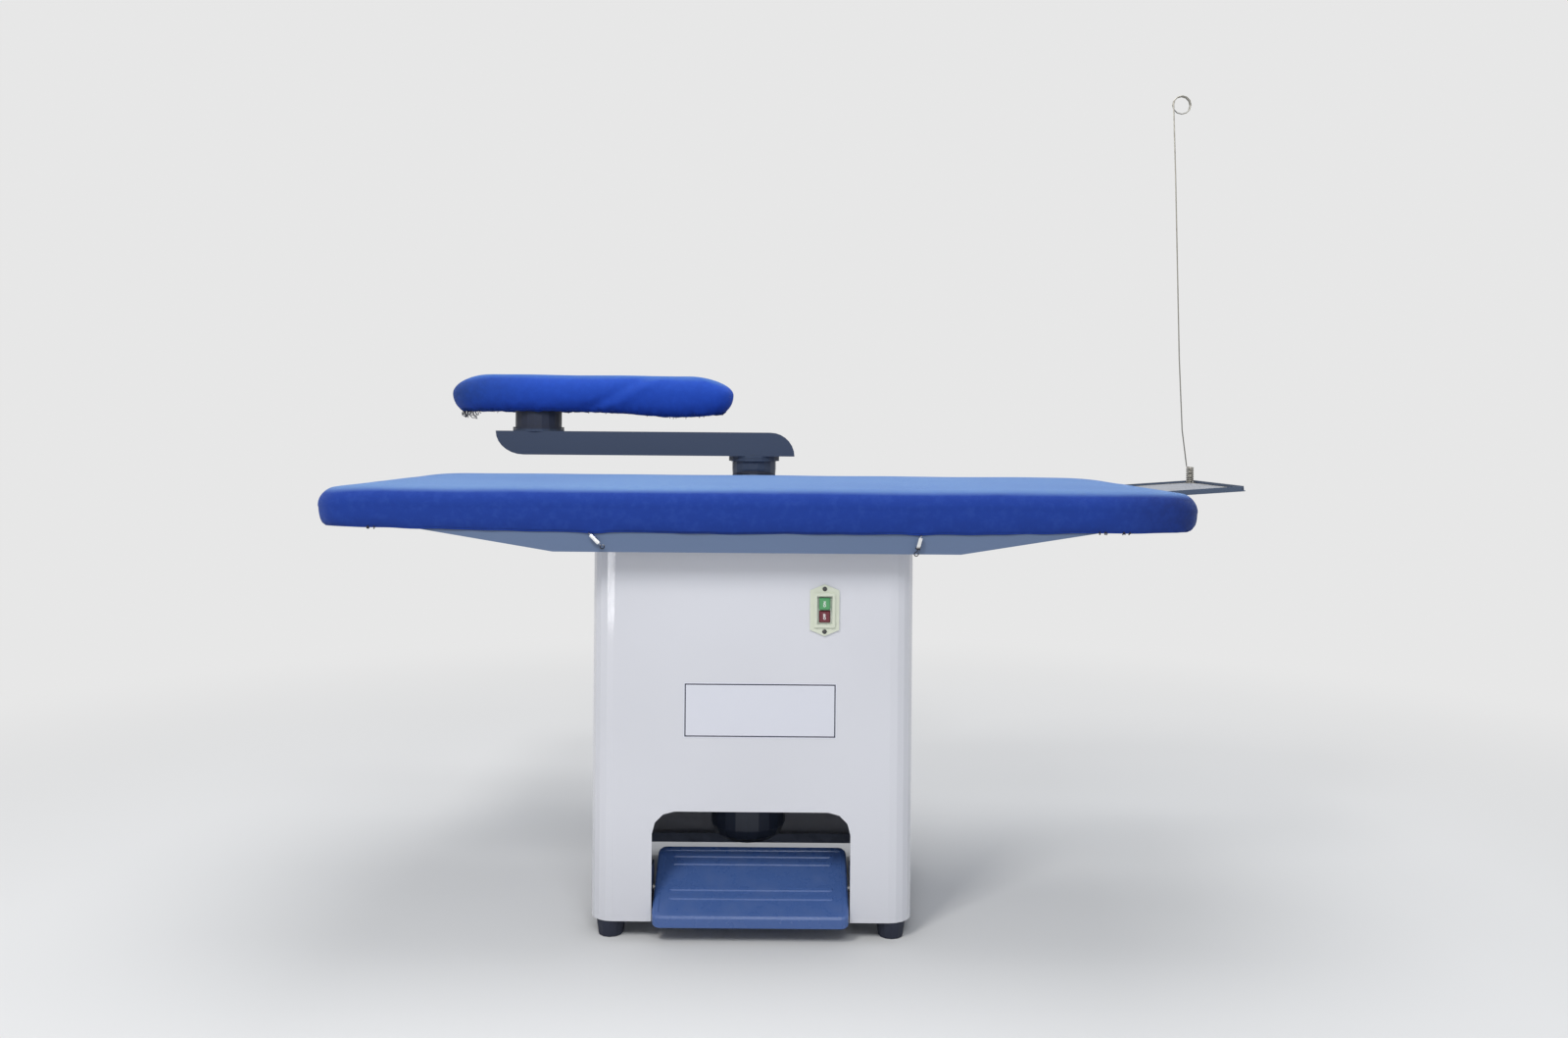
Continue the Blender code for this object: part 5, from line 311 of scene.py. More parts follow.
def blank_label(name, low, high):
    """White vinyl label that stays bare, with a thin grey-blue line round its edge."""
    line_start, line_end, line_colour = 0.0021, 0.0044, (0.03, 0.034, 0.06)
    vinyl = Finish(name, Coat_Weight=0.15)

    def beyond(inset):
        """1 in the rim of that width round the label, and 0 inside it."""
        across = ((vinyl.x - (low.x + high.x) / 2).size() / ((high.x - low.x) / 2 - inset)) > 1.0
        along = ((vinyl.z - (low.z + high.z) / 2).size() / ((high.z - low.z) / 2 - inset)) > 1.0
        return (across + along).clamped()

    line = (beyond(line_end) - beyond(line_start)).clamped()
    smear = vinyl.noise(18, 3)
    shade = vinyl.mix(smear * 0.4, (0.70, 0.71, 0.78), (0.66, 0.67, 0.74))
    shade = vinyl.mix(line, shade, line_colour)
    return vinyl.done(shade, 0.38 + smear * 0.1, smear, 0.00005)


def silver_mat(name):
    """Heat-proof silver cloth bonded to felt, for the hot iron."""
    thread_pitch, silver, scorched = 0.0016, (0.26, 0.28, 0.325), (0.185, 0.18, 0.18)
    mat = Finish(name, Sheen_Weight=0.2)
    pace = math.tau / thread_pitch
    weave = (mat.x * pace).sine() * (mat.y * pace).sine()
    scorch = mat.noise(16, 4, 0.6)
    shade = mat.mix(scorch.ramp(0.45, 0.8) * 0.6, silver, scorched)
    return mat.done(shade, 0.42 + scorch * 0.2, weave * 0.5 + scorch * 0.4, 0.0002, 0.35 + weave * 0.05)


# The second colour of each cloth is its painted top sheen, and the third is its painted shade at one end.
BOARD_BLUE, BOARD_TOP_SHEEN, BOARD_END_SHADE = (0.014, 0.048, 0.300), (0.160, 0.285, 0.520), (0.012, 0.026, 0.130)
BUCK_BLUE, BUCK_TOP_SHEEN, BUCK_END_SHADE = (0.018, 0.072, 0.440), (0.062, 0.160, 0.420), (0.016, 0.045, 0.170)
SLATE, SLATE_SHADED = (0.032, 0.049, 0.089), (0.015, 0.020, 0.041)
SLATE_PAN, SLATE_TRAY = (0.110, 0.160, 0.272), (0.060, 0.088, 0.145)
CABINET_WHITE, PEDAL_BLUE, BLOWER_DARK = (0.68, 0.685, 0.735), (0.062, 0.126, 0.345), (0.026, 0.036, 0.066)

# The cloths get painted shade at one end: the board's right end, and the buck's broad end.
board_cloth = woven_cloth(
    "board_cotton", BOARD_BLUE, BOARD_TOP_SHEEN, 0.28, BOARD_END_SHADE, TABLE.x + 0.60, TABLE.x + 0.84
)
buck_cloth = woven_cloth(
    "buck_cotton", BUCK_BLUE, BUCK_TOP_SHEEN, 0.18, BUCK_END_SHADE, BUCK.x + 0.05, BUCK.x - 0.26
)
wool_felt = felt("wool_felt", (0.55, 0.52, 0.46))
dark_thread = moulded("dark_thread", (0.016, 0.016, 0.030), 0.85)
spring_steel = turned_metal("spring_steel", (0.66, 0.64, 0.58), 0.34, (0.24, 0.19, 0.13))

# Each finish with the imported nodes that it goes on.
LOOKS = (
    (enamel("cabinet_enamel", CABINET_WHITE, 0.22, 0.10, 0.00002, coat=1.0), "cabinet rear_panel"),
    (enamel("pan_enamel", SLATE_PAN, 0.42), "vacuum_pan"),
    (enamel("slate_enamel", SLATE, 0.50, 0.12), "arm_duct elbow swivel_washer"),
    (enamel("tray_enamel", SLATE_TRAY, 0.44), "iron_tray"),
    (enamel("shaded_enamel", SLATE_SHADED, 0.50), "buck_post buck_pan"),
    (enamel("pedal_enamel", PEDAL_BLUE, 0.24, 0.04, chips=0.08), "pedal"),
    (
        enamel("dark_enamel", BLOWER_DARK, 0.38, 0.12),
        "blower_frame motor motor_cowl link_guide pedal_bracket_left pedal_bracket_right",
    ),
    (galvanised("zinc_sheet", (0.56, 0.58, 0.60)), "work_grid buck_grid inlet_duct scroll damper_flap"),
    (galvanised("frame_steel", (0.25, 0.28, 0.37)), "base_frame fixing_lug"),
    (
        turned_metal("plated_steel", (0.62, 0.62, 0.60), 0.25),
        "crank damper_lever link_rod pedal_axle axle_clip lug_bolt tray_bolt_front tray_bolt_rear "
        "rear_screw_left rear_screw_right swivel_screw motor_shaft shaft_nut",
    ),
    (hook_steel("hook_steel", *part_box("cover_hook_left")), "cover_hook_left cover_hook_right"),
    (turned_metal("black_screw", (0.10, 0.10, 0.10), 0.30), "switch_screw_upper switch_screw_lower"),
    (spring_steel, "return_spring"),
    (
        turned_metal("pole_steel", (0.30, 0.29, 0.26), 0.38, (0.16, 0.13, 0.10)),
        "pole_coil pole_wire pole_stud",
    ),
    (cast_metal("impeller_alloy", (0.52, 0.53, 0.55)), "impeller"),
    (
        moulded("black_rubber", (0.010, 0.014, 0.032), 0.58, 0.0002),
        "foot_front_left foot_front_right foot_rear_left foot_rear_right cable_gland elbow_seal",
    ),
    (moulded("cream_moulding", (0.61, 0.64, 0.53), 0.42), "switch_plate"),
    (moulded("grey_moulding", (0.55, 0.59, 0.52), 0.4), "switch_body"),
    (moulded("green_moulding", (0.075, 0.30, 0.115), 0.28, coat=0.3), "on_button"),
    (moulded("red_moulding", (0.13, 0.012, 0.024), 0.28, coat=0.3), "off_button"),
)


def dress_nodes():
    """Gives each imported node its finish."""
    for material, names in LOOKS:
        for name in names.split():
            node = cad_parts[name]
            node.data.materials.clear()
            node.data.materials.append(material)


dress_nodes()


def made(name, vertices, faces, material, body="root", slot=None, smooth=True):
    """A new mesh piece with the given finish, riding on a body. The slot is not used."""
    mesh = bpy.data.meshes.new(name)
    mesh.from_pydata([tuple(v) for v in vertices], [], faces)
    mesh.validate()
    mesh.update()
    mesh.materials.append(material)
    if smooth:
        mesh.shade_smooth()
    else:
        mesh.shade_flat()
    thing = bpy.data.objects.new(name, mesh)
    bpy.context.scene.collection.objects.link(thing)
    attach(thing, body)
    return thing


def settled(thing, *modifiers):
    """Adds modifiers as (kind, settings) and leaves only their result on the mesh."""
    for kind, settings in modifiers:
        modifier = thing.modifiers.new(kind.lower(), kind)
        for key, value in settings.items():
            setattr(modifier, key, value)
    graph = bpy.context.evaluated_depsgraph_get()
    graph.update()
    mesh = bpy.data.meshes.new_from_object(thing.evaluated_get(graph))
    thing.modifiers.clear()
    old, thing.data = thing.data, mesh
    bpy.data.meshes.remove(old)
    mesh.shade_smooth()
    return thing


def lofted(rings, capped=True, looped=False):
    """Vertices and faces of closed rings joined in turn, the last one capped."""
    count = len(rings[0])
    vertices = [p for ring in rings for p in ring]
    faces = []
    last = len(rings) if looped else len(rings) - 1
    for row in range(last):
        below, above = row * count, (row + 1) % len(rings) * count
        for i in range(count):
            j = (i + 1) % count
            faces.append((below + i, below + j, above + j, above + i))
    if capped:
        faces.append(tuple(range((len(rings) - 1) * count, len(rings) * count)))
    return vertices, faces


def swept(path, radius, sides=8, closed=False, flat=1.0):
    """A tube along a path of points, with a round or flattened section."""
    points = [Vector(p) for p in path]
    count = len(points)
    rings = []
    side = None
    for i, point in enumerate(points):
        before = points[(i - 1) % count] if closed or i else point
        after = points[(i + 1) % count] if closed or i < count - 1 else point
        along = (after - before).normalized()
        if side is None:
            side = along.cross(UP if abs(along.z) < 0.9 else Vector((1, 0, 0))).normalized()
        side = (side - along * side.dot(along)).normalized()
        lift = side.cross(along)
        turns = (math.tau * k / sides for k in range(sides))
        rings.append([point + (side * math.cos(t) * flat + lift * math.sin(t)) * radius for t in turns])
    vertices, faces = lofted(rings, capped=not closed, looped=closed)
    if not closed:
        faces.append(tuple(range(sides))[::-1])
    return vertices, faces


def together(*parts):
    """Several vertex and face lists as one."""
    vertices, faces = [], []
    for some_vertices, some_faces in parts:
        start = len(vertices)
        vertices += list(some_vertices)
        faces += [tuple(start + i for i in face) for face in some_faces]
    return vertices, faces


def ripple(point, scale, seed=0):
    """Smooth noise from -1 to 1 at a place, the same in every run."""
    return noise.noise(Vector(point) * scale + Vector((seed * 7.31, seed * 3.7, seed)))


def loose_thread(chance, root, length, radius):
    """One curly thread that hangs from its root."""
    lean, curl, steps = chance.uniform(-0.5, 0.5), chance.uniform(-0.6, 0.6), 5
    path = []
    for i in range(steps + 1):
        share = i / steps
        side = math.sin(share * 3 + curl * 4) * 0.25 * length * share
        path.append(root + Vector((lean * length * share + side, side * 0.6 - 0.001, -length * share)))
    return swept(path, radius, 5)


# The ironing board's soft forms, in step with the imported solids. A drop is measured down from the top.
BOARD_LENGTH, BOARD_DEPTH = BOARD_HIGH.x - BOARD_LOW.x, BOARD_HIGH.y - BOARD_LOW.y
BOARD_TOP, BOARD_CORNER, BOARD_CROWN = BOARD_HIGH.z, 0.062, 0.004
EDGE_ROUND, HEM_DROP, HEM_TUCK, HEM_RISE = 0.032, 0.087, 0.012, 0.010
END_DROOP, END_DROOP_REACH, FLAT_SHARE = 0.007, 0.130, 0.80
HOOK_PLACES = [
    (low.x + high.x) / 2 for low, high in (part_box("cover_hook_left"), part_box("cover_hook_right"))
]
HOOK_PULL_WIDTH, HOOK_PULL_DOWN, HOOK_PULL_IN = 0.020, 0.0022, 0.0035
CORNER_GATHERS, GATHER_LEFT, GATHER_RIGHT = 46, 0.0012, 0.0020
HEM_FRAYS, THREADS_A_FRAY = (-0.810, 0.532, 0.576), 7
CLOTH_THICKNESS = 0.0012


def board_loop(inset, count):
    """Points evenly along the board's rounded outline, with their outward ways."""
    radius = max(BOARD_CORNER - inset, 0.004)
    half_x, half_y = BOARD_LENGTH / 2 - inset - radius, BOARD_DEPTH / 2 - inset - radius
    quarter = math.pi / 2 * radius
    runs = ((half_y * 2, (1, 0)), (half_x * 2, (0, 1)), (half_y * 2, (-1, 0)), (half_x * 2, (0, -1)))
    whole = 4 * (half_x + half_y + quarter)
    loop = []
    for i in range(count):
        left = whole * i / count
        for side, (run, face) in enumerate(runs):
            if left <= run:
                slide = left - run / 2
                x = face[0] * (half_x + radius) - face[1] * slide
                y = face[1] * (half_y + radius) + face[0] * slide
                loop.append((x, y, face[0], face[1]))
                break
            left -= run
            if left <= quarter:
                turn = side * math.pi / 2 + left / radius
                corner_x = half_x if side in (0, 3) else -half_x
                corner_y = half_y if side in (0, 1) else -half_y
                out = (math.cos(turn), math.sin(turn))
                loop.append((corner_x + out[0] * radius, corner_y + out[1] * radius, *out))
                break
            left -= quarter
    return loop


def board_profile(offset, drop, rows):
    """(inset, drop) pairs from the hem, over the rounded edge, to the middle."""
    start = BOARD_CROWN + EDGE_ROUND
    places = []
    for i in range(rows):
        down = drop + (start - drop) * i / rows
        places.append((HEM_TUCK * (down / HEM_DROP) ** 3.2 + offset, down))
    for i in range(rows):
        turn = math.pi / 2 * i / (rows - 1)
        reach = EDGE_ROUND - offset
        places.append((EDGE_ROUND - reach * math.cos(turn), start - reach * math.sin(turn)))
    span = BOARD_DEPTH / 2 - EDGE_ROUND
    for i in range(1, rows * 2):
        far = i / (rows * 2)
        rise = BOARD_CROWN * math.sin(math.pi / 2 * min(1, far * 1.25))
        places.append((EDGE_ROUND + span * far * FLAT_SHARE, BOARD_CROWN - rise + offset))
    return places


def board_skin(offset, drop, rows, count, cloth):
    """Rings of the board's padded surface, with pulls and ripples if it is the cover's cloth."""
    rings = []
    for inset, down in board_profile(offset, drop, rows):
        ring = []
        low = max(0, (down - 0.03) / (HEM_DROP - 0.03))
        for x, y, out_x, out_y in board_loop(inset, count):
            into_end = max(0, 1 - (BOARD_LENGTH / 2 - abs(x)) / END_DROOP_REACH)
            z = BOARD_TOP - down - END_DROOP * into_end**2 * (1 - low**2)
            push = 0
            if cloth:
                # Slow waves and fine puckers, gathers at the corners, and a hem that rises to the ends.
                z += HEM_RISE * (2 * x / BOARD_LENGTH) ** 2 * low**3
                corner = math.exp(-((abs(out_x * out_y) - 0.5) / 0.28) ** 2)
                place = (x, y, z)
                push = 0.0007 * ripple(place, 9) + 0.0005 * ripple(place, 34, 2)
                around = math.atan2(out_y, out_x)
                gather = math.sin(around * CORNER_GATHERS + 2 * ripple(place, 20, 4))
                push += corner * low**0.6 * (GATHER_RIGHT if x > 0 else GATHER_LEFT) * gather
                push += low**2 * 0.0016 * ripple((x, y, 0), 22, 5)
                z += low**3 * 0.0018 * ripple((x, y, 0), 17, 8)
                z += max(0, 1 - low * 4) * 0.0011 * ripple((x, y, 0), 6, 9)
                if y < 0:
                    # The hooks at the front pull the hem down and in.
                    for place_x in HOOK_PLACES:
                        pull = math.exp(-(((x + TABLE.x - place_x) / HOOK_PULL_WIDTH) ** 2))
                        z -= low**2 * pull * HOOK_PULL_DOWN
                        push -= pull * HOOK_PULL_IN * low**2 * (1 - low) * 4
            ring.append(Vector((x + out_x * push, y + out_y * push, z)) + TABLE)
        rings.append(ring)
    return rings


def elbow_notch():
    """Arched block that clears the elbow where it goes through the board's back edge."""
    half, foot, steps = 0.0485, 0.70, 24
    elbow_low, elbow_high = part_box("elbow")
    pan_low, pan_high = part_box("vacuum_pan")
    middle, centre = (elbow_low.x + elbow_high.x) / 2, (pan_low.z + pan_high.z) / 2
    turns = (math.pi * i / steps for i in range(steps + 1))
    arch = [(half * math.cos(turn), centre + half * math.sin(turn)) for turn in turns]
    arch += [(-half, foot), (half, foot)]
    back, front = BOARD_HIGH.y + 0.03, BOARD_HIGH.y - 0.032
    rings = [[Vector((middle + x, y, z)) for x, z in arch] for y in (front, back)]
    vertices, faces = lofted(rings)
    faces.append(tuple(range(len(arch)))[::-1])
    return made("notch", vertices, faces, board_cloth)


def notched(thing):
    """Cuts the elbow's way through a soft piece."""
    block = elbow_notch()
    cut = {"object": block, "operation": "DIFFERENCE", "solver": "EXACT"}
    settled(thing, ("BOOLEAN", cut))
    bpy.data.objects.remove(block)
    return thing


def board_layer(name, rings, thickness, material):
    """A soft layer of the board from its outer rings, with the elbow's way cut through it."""
    thing = made(name, *lofted(rings), material)
    skin_thickness = {"thickness": thickness, "offset": -1, "use_even_offset": True}
    return notched(settled(thing, ("SOLIDIFY", skin_thickness)))


def board():
    """Felt pad and taut blue cover, with the cover's rolled and stitched hem."""
    rings = board_skin(offset=0.0034, drop=0.052, rows=7, count=220, cloth=False)
    pad = board_layer("board_felt", rings, 0.008, wool_felt)
    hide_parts("board_padding")
    rings = board_skin(offset=0.0002, drop=HEM_DROP, rows=12, count=420, cloth=True)
    cover = board_layer("board_cloth", rings, CLOTH_THICKNESS, board_cloth)
    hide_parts("board_cover")

    roll_radius, roll_flat, seam_radius, seam_rise, seam_out = 0.0024, 0.62, 0.0006, 0.0125, 0.0016
    inward = [((TABLE - p) * Vector((1, 1, 0))).normalized() for p in rings[0]]
    hem = [p + (UP + way) * CLOTH_THICKNESS for p, way in zip(rings[0], inward)]
    seam = [p + UP * seam_rise - way * seam_out for p, way in zip(hem, inward)]
    rolled = together(swept(hem, roll_radius, 8, True, roll_flat), swept(seam, seam_radius, 5, True))

    chance = random.Random(11)
    front = [p for p in rings[0] if p.y < BOARD_LOW.y + 0.03]
    tufts = []
    for fray in HEM_FRAYS:
        for _ in range(THREADS_A_FRAY):
            wanted = fray + chance.uniform(-0.007, 0.007)
            root = min(front, key=lambda p: abs(p.x - wanted))
            tufts.append(loose_thread(chance, root + UP * 0.002, chance.uniform(0.003, 0.006), 0.0012))
    threads = made("board_threads", *together(*tufts), dark_thread, slot="blue_cloth")
    hem_piece = notched(made("board_hem", *rolled, board_cloth, slot="blue_cloth"))


# The sleeve buck's soft forms. Its centres are those of its broad and narrow ends, from the post.
BUCK_SOLE, BUCK_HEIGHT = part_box("buck_pan")[0].z - 0.010, 0.093
BUCK_RADII, BUCK_CENTRES = (0.095, 0.055), (-0.117, 0.430)
BUCK_EDGE, BUCK_NOSES, BUCK_REACH = 0.040, (0.105, 0.130), 0.250
BUCK_HEM_TURN, FELT_HEM_TURN = math.radians(-68), math.radians(-46)
BUCK_UNDER_SHARE = 0.1
BELLY, BELLY_REACH = 0.012, 0.120
BELLY_X = BUCK_CENTRES[0] + (BUCK_CENTRES[1] - BUCK_CENTRES[0]) * 0.84
CREASE_X, CREASE_LEAN, CREASE_WIDTH, CREASE_DEPTH, CREASE_BANK = 0.195, 1.7, 0.024, 0.0065, 0.0030


def buck_loop(inset, count):
    """Points evenly along the buck's outline, with their outward ways."""
    left, right = BUCK_RADII[0] - inset, BUCK_RADII[1] - inset
    span = BUCK_CENTRES[1] - BUCK_CENTRES[0]
    face = math.acos((left - right) / span)
    straight = math.sqrt(span**2 - (left - right) ** 2)
    narrow, broad = 2 * face * right, 2 * (math.pi - face) * left
    total = narrow + broad + straight * 2
    loop = []
    for i in range(count):
        run = total * i / count
        if run < narrow:
            turn, centre, radius, slide = run / right - face, BUCK_CENTRES[1], right, 0
        elif run < narrow + straight:
            turn, centre, radius, slide = face, BUCK_CENTRES[1], right, run - narrow
        elif run < narrow + straight + broad:
            run -= narrow + straight
            turn, centre, radius, slide = face + run / left, BUCK_CENTRES[0], left, 0
        else:
            run -= narrow + straight + broad
            turn, centre, radius, slide = -face, BUCK_CENTRES[0], left, run
        out = (math.cos(turn), math.sin(turn))
        along = (-out[1], out[0])
        x = centre + out[0] * radius + along[0] * slide
        loop.append((x, out[1] * radius + along[1] * slide, *out))
    return loop


def buck_skin(offset, start, rows, count, cloth):
    """Rings of the buck's rounded surface, with its crease and belly, and the cloth's ragged hem."""
    half = BUCK_HEIGHT / 2
    left_tip, right_tip = BUCK_CENTRES[0] - BUCK_RADII[0], BUCK_CENTRES[1] + BUCK_RADII[1]
    rings = []
    for row in range(rows + 1):
        turn = start + (math.pi / 2 * 0.985 - start) * row / rows
        inset = BUCK_EDGE - (BUCK_EDGE - offset) * math.cos(turn)
        height = half + (half - offset) * math.sin(turn)
        low = max(0, -math.sin(turn))
        ring = []
        for x, y, out_x, out_y in buck_loop(inset, count):
            z = height - BELLY * low * math.exp(-(((x - BELLY_X) / BELLY_REACH) ** 2))
            into_left = max(0, 1 - (x - left_tip) / BUCK_REACH) ** 2
            into_right = max(0, 1 - (right_tip - x) / BUCK_REACH) ** 2
            slide = into_left * (BUCK_NOSES[0] - BUCK_EDGE) - into_right * (BUCK_NOSES[1] - BUCK_EDGE)
            push = 0
            if cloth:
                place = (x, y, z)
                push = 0.0009 * ripple(place, 11, 3) + 0.0005 * ripple(place, 38, 6)
                # Underneath, the hem is ragged.
                push += low**2 * 0.0018 * (0.8 + ripple((x, y, 0), 60, 7))
                z += low**2 * 0.0030 * ripple((x, y, 0), 70, 11)
                z += max(0, math.sin(turn)) * 0.0009 * ripple((x, y, 0), 8, 12)
            if y < 0:
                # One long crease that leans across the front, with a raised bank beside it.
                valley = (x - CREASE_X - CREASE_LEAN * (height - half)) / CREASE_WIDTH
                fold = CREASE_BANK * math.exp(-((valley - 1.9) ** 2))
                fold -= CREASE_DEPTH * math.exp(-(valley**2)) * (0.35 + 0.65 * low)
                push += fold * max(0, math.cos(turn)) * (1 if cloth else 0.7)
            fullness = 1 if turn > 0 else BUCK_UNDER_SHARE
            x += slide * (1 - math.cos(turn)) * fullness + out_x * push
            ring.append(Vector((BUCK.x + x, BUCK.y + y + out_y * push, BUCK_SOLE + z)))
        rings.append(ring)
    return rings


def buck_frays():
    """Long frayed ends of the overlocked edge under the buck's broad end, and short ones along it."""
    broad_end = (26, -0.185, 0.055, 0.007, 0.021, 0.0010)
    whole_edge = (34, -0.190, 0.62, 0.002, 0.007, 0.0007)
    chance = random.Random(7)
    edge = buck_skin(offset=0.0004, start=BUCK_HEM_TURN, rows=24, count=360, cloth=True)[0]
    front = [p for p in edge if p.y < BUCK.y]
    parts = []
    for number, left, spread, shortest, longest, radius in (broad_end, whole_edge):
        for _ in range(number):
            wanted = BUCK.x + left + chance.uniform(0, spread)
            root = min(front, key=lambda p: abs(p.x - wanted))
            parts.append(loose_thread(chance, root, chance.uniform(shortest, longest), radius))
    return together(*parts)


def buck():
    """Felt pad, tight blue cover, overlocked edge and its loose threads."""
    rings = buck_skin(offset=0.0036, start=FELT_HEM_TURN, rows=14, count=200, cloth=False)
    pad = made("buck_felt", *lofted(rings), wool_felt, "buck")
    settled(pad, ("SOLIDIFY", {"thickness": 0.007, "offset": -1}))
    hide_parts("buck_padding")
    rings = buck_skin(offset=0.0003, start=BUCK_HEM_TURN, rows=26, count=400, cloth=True)
    cover = made("buck_cloth", *lofted(rings), buck_cloth, "buck", "buck_cloth")
    settled(cover, ("SOLIDIFY", {"thickness": CLOTH_THICKNESS, "offset": -1}))
    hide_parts("buck_cover")
    edge_radius, loop_radius, loop_out, loop_down = 0.0017, 0.00055, 0.0016, UP * 0.0012
    edge = swept([p + UP * 0.0006 for p in rings[0]], edge_radius, 6, True, 0.8)
    loops = []
    for i in range(0, len(rings[0]), 2):
        a, b, c = rings[0][i], rings[2][i], rings[0][(i + 1) % len(rings[0])]
        out = Vector((a.x - BUCK.x, (a.y - BUCK.y) * 3, 0)).normalized() * loop_out
        loops.append(swept([a + out - loop_down, b + out, c + out - loop_down], loop_radius, 4))
    trim = made("buck_overlock", *together(edge, *loops), buck_cloth, "buck", "buck_cloth")
    threads = made("buck_threads", *buck_frays(), dark_thread, "buck", "buck_cloth")


def tray_pad():
    """Thin silver mat with a bound edge for the hot iron, on the leaning tray."""
    low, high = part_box("tray_mat")
    lean, thick, rim_width, rim_share = math.radians(4.2), 0.0032, 0.006, 0.45
    half_x, half_y = (high.x - low.x) / 2 - 0.001, (high.y - low.y) / 2 - 0.0005
    across, along = 22, 40
    grid, faces = [], []
    for level in (1, -1):
        for i in range(across + 1):
            for j in range(along + 1):
                x, y = half_x * (2 * i / across - 1), half_y * (2 * j / along - 1)
                to_edge = min(half_x - abs(x), half_y - abs(y))
                puff = min(1, to_edge / rim_width) ** 0.5
                rise = thick / 2 * (rim_share + (1 - rim_share) * puff) * level
                if level > 0:
                    rise += 0.0004 * ripple((x, y, 0), 30, 4)
                grid.append(Vector((x, y, rise)))
    row = along + 1
    layer = (across + 1) * row
    for i in range(across):
        for j in range(along):
            a = i * row + j
            faces.append((a, a + row, a + row + 1, a + 1))
            faces.append((layer + a, layer + a + 1, layer + a + row + 1, layer + a + row))
    rim = [i * row for i in range(across + 1)] + [across * row + j for j in range(1, row)]
    rim += [i * row + along for i in range(across - 1, -1, -1)] + list(range(along - 1, 0, -1))
    for a, b in zip(rim, rim[1:] + rim[:1]):
        faces.append((b, a, layer + a, layer + b))
    bend = Matrix.Translation((low + high) / 2) @ Matrix.Rotation(-lean, 4, "Y")
    pad = made("iron_mat", [bend @ v for v in grid], faces, silver_mat("silver_mat"), slot="silver_mat")
    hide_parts("tray_mat")

    thread_radius, stitched_in, steps = 0.0006, 0.0035, 8
    x, y, z = half_x - stitched_in, half_y - stitched_in, thick / 2
    corners = [Vector((-x, -y, z)), Vector((x, -y, z)), Vector((x, y, z)), Vector((-x, y, z))]
    path = []
    for start, end in zip(corners, corners[1:] + corners[:1]):
        path += [bend @ start.lerp(end, i / steps) for i in range(steps)]
    made("iron_mat_stitching", *swept(path, thread_radius, 5, True), wool_felt, slot="silver_mat")


def return_spring():
    """Coil spring round the link, as tall as the imported spring it replaces."""
    wire_radius, curls, steps, kept_share = 0.0011, 7, 24, 0.685
    low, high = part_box("return_spring")
    radius = (high.x - low.x) / 2 - wire_radius
    middle = Vector(((low.x + high.x) / 2, (low.y + high.y) / 2, low.z + wire_radius))
    climb = high.z - low.z - wire_radius * 2
    path = []
    for i in range(curls * steps + 1):
        turn = math.tau * i / steps
        out = Vector((math.cos(turn), math.sin(turn), 0))
        path.append(middle + out * radius + UP * climb * i / (curls * steps))
    spring = made("coil_spring", *swept(path, wire_radius, 8), spring_steel, slot="steel")
    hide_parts("return_spring")
    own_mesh(spring)


def button_word(text, body, size):
    """A raised white word on a push button, turned to read upwards."""
    raised, widened, sunk = 0.0002, 0.00016, 0.0001
    low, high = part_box(body)
    curve = bpy.data.curves.new("word", "FONT")
    curve.body, curve.size, curve.extrude, curve.offset = text, size, raised, widened
    curve.align_x, curve.align_y = "CENTER", "CENTER"
    holder = bpy.data.objects.new("word", curve)
    bpy.context.scene.collection.objects.link(holder)
    holder.matrix_world = (
        Matrix.Translation(((low.x + high.x) / 2, low.y - sunk, (low.z + high.z) / 2))
        @ Matrix.Rotation(math.pi / 2, 4, "X")
        @ Matrix.Rotation(math.pi / 2, 4, "Z")
    )
    bpy.context.view_layer.update()
    mesh = bpy.data.meshes.new_from_object(holder)
    points = [holder.matrix_world @ v.co for v in mesh.vertices]
    faces = [tuple(face.vertices) for face in mesh.polygons]
    bpy.data.objects.remove(holder)
    white = moulded("marking_white_" + text, (0.84, 0.84, 0.82), 0.4)
    made(body + "_word", points, faces, white, body, "cream_plastic", smooth=False)


def label():
    """The bare label on the cabinet's front."""
    left, right, bottom, top = TABLE.x - 0.137, TABLE.x + 0.151, 0.379, 0.483
    corner, steps, thickness = 0.0025, 4, 0.00035
    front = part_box("cabinet")[0].y
    outline = []
    for x, z, start in (
        (right - corner, bottom + corner, -90), (right - corner, top - corner, 0),
        (left + corner, top - corner, 90), (left + corner, bottom + corner, 180),
    ):
        for i in range(steps + 1):
            turn = math.radians(start + 90 * i / steps)
            outline.append((x + corner * math.cos(turn), z + corner * math.sin(turn)))
    rings = [[Vector((x, y, z)) for x, z in outline] for y in (front - 0.00002, front - thickness)]
    vinyl = blank_label("label_vinyl", Vector((left, 0, bottom)), Vector((right, 0, top)))
    made("label_blank", *lofted(rings), vinyl, slot="cream_plastic", smooth=False)


board()
buck()
tray_pad()
return_spring()
button_word("ON", "on_button", 0.0068)
button_word("OFF", "off_button", 0.0064)
label()


def stage_floor():
    """Pale floor that keeps the shadow near the table and turns into the pale distance."""
    floor_grey, reach = (0.74, 0.74, 0.74), 14
    paint = Finish("floor", Emission_Strength=1.0, Specular_IOR_Level=0.0)
    away = (paint.x**2 + (paint.y + 0.2) ** 2) ** 0.5
    fade = away.ramp(0.9, 3.4) * paint.background_share()
    paint.feed(paint.shader.inputs["Emission Color"], fade * BACKGROUND_GREY)
    paint.done((1 - fade) * floor_grey, 0.9)
    corners = [(-reach, -reach, 0), (reach, -reach, 0), (reach, reach, 0), (-reach, reach, 0)]
    mesh = bpy.data.meshes.new("floor")
    mesh.from_pydata(corners, [], [(0, 1, 2, 3)])
    mesh.materials.append(paint.material)
    floor = bpy.data.objects.new("floor", mesh)
    bpy.context.scene.collection.objects.link(floor)


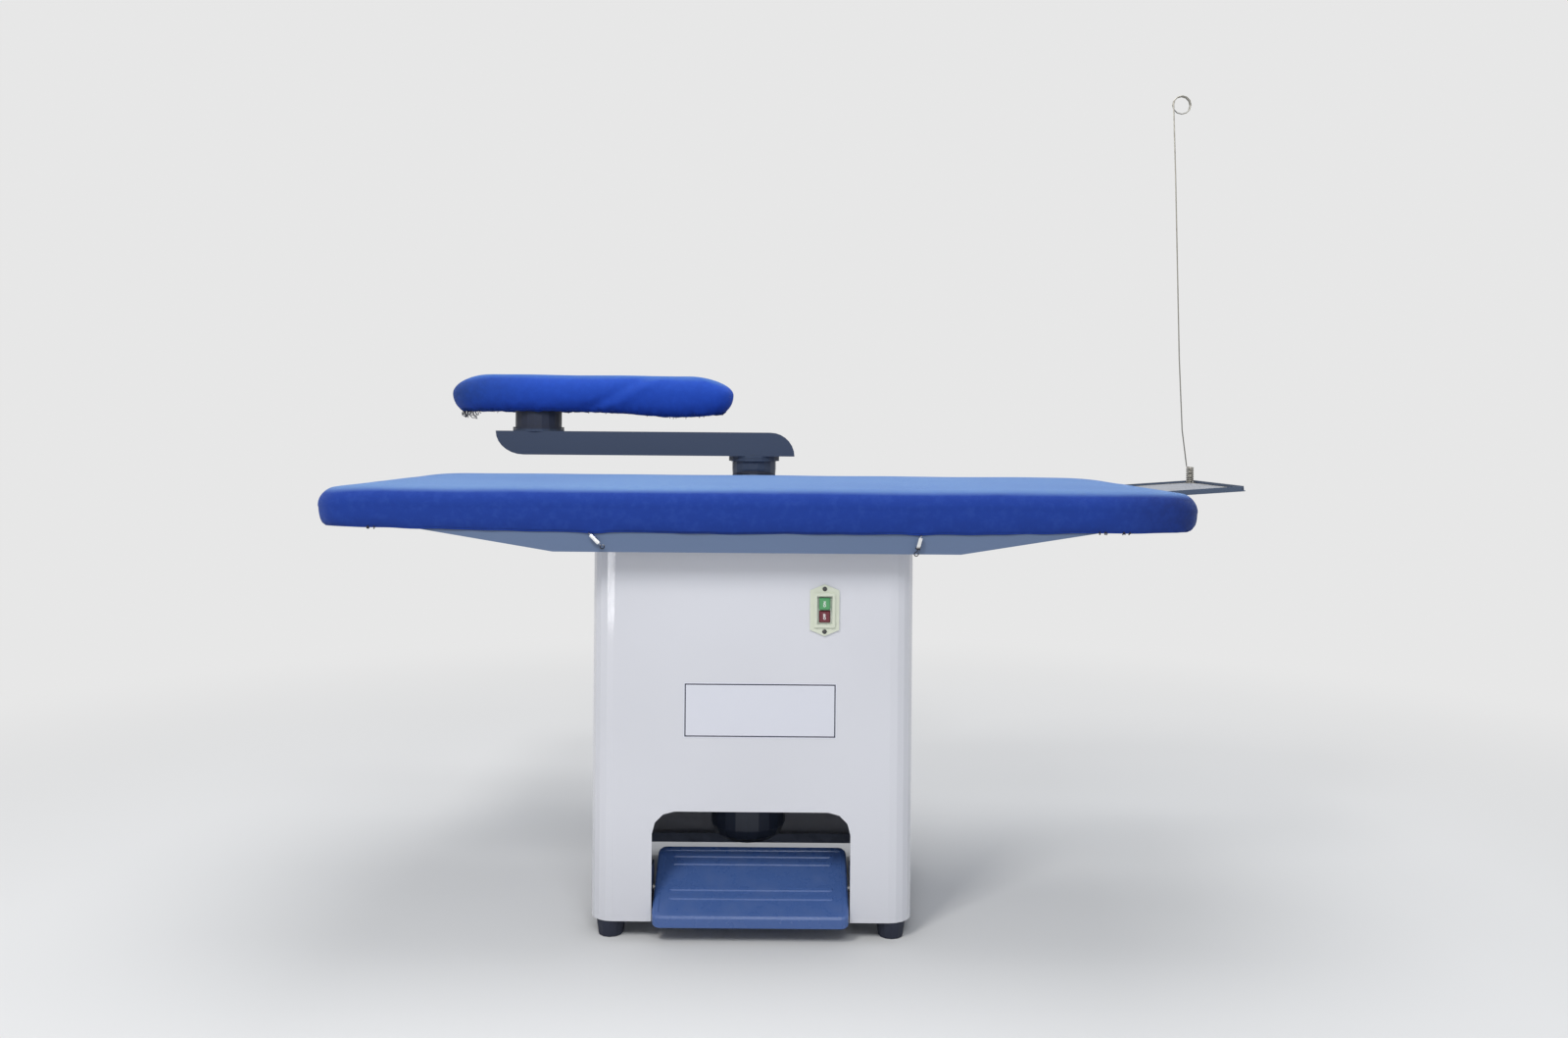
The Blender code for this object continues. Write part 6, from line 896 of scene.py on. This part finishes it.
def studio_world():
    """Pale distance for the rays that see the background, and soft cool light from all round."""
    world = bpy.data.worlds.new("studio")
    bpy.context.scene.world = world
    world.use_nodes = True
    sky = Nodes(world.node_tree)
    sky.tree.nodes.remove(sky.tree.nodes["Background"])
    light = sky.node("Background", {}, (0.93, 0.96, 1.0), 0.50)
    distance = sky.node("Background", {}, BACKGROUND_GREY)
    both = sky.node("MixShader", {}, sky.background_share(), light, distance)
    sky.feed(sky.tree.nodes["World Output"].inputs["Surface"], both)


# Name, place, aim, size, power and colour. The strip shows as the bright line on the cabinet's left bend.
LAMPS = (
    ("key", (-1.3, -2.5, 3.2), (0, 0, 0.75), (0.8, 0.8), 49, (1.0, 0.985, 0.96)),
    ("strip", (-1.67, -3.08, 0.36), (-0.37, -0.39, 0.68), (0.014, 0.46), 0.7, (1.0, 1.0, 1.0)),
    ("fill", (0.2, -2.9, 2.7), (0, 0, 0.5), (1.2, 0.5), 22, (0.94, 0.97, 1.0)),
    ("overhead", (0.1, 0.6, 3.8), (0, 0.1, 0.8), (2.6, 2.6), 74, (1.0, 1.0, 1.0)),
)


def studio_lamps():
    """Soft lamps in front, overhead, and to the left of the cabinet."""
    for name, place, aim, (width, height), power, colour in LAMPS:
        light = bpy.data.lights.new(name, "AREA")
        light.shape, light.size, light.size_y = "RECTANGLE", width, height
        light.energy, light.color = power, colour
        lamp = bpy.data.objects.new(name, light)
        lamp.location = place
        lamp.rotation_euler = (Vector(place) - Vector(aim)).to_track_quat("Z", "Y").to_euler()
        bpy.context.scene.collection.objects.link(lamp)


def photo_camera():
    """The photograph's camera: level, from the front, and a little to the right of the middle."""
    sensor, focal_length, shift_up, turned = 36, 28.7, -0.055, math.radians(0.45)
    data = bpy.data.cameras.new("camera")
    data.sensor_width, data.lens, data.shift_y = sensor, focal_length, shift_up
    camera = bpy.data.objects.new("camera", data)
    camera.matrix_world = (
        Matrix.Translation(TABLE + Vector((0.048, -2.660, 0.9536)))
        @ Matrix.Rotation(math.pi / 2, 4, "X")
        @ Matrix.Rotation(turned, 4, "Z")
    )
    bpy.context.scene.collection.objects.link(camera)
    bpy.context.scene.camera = camera
    bpy.context.scene.view_settings.view_transform = "Standard"


stage_floor()
studio_world()
studio_lamps()
photo_camera()
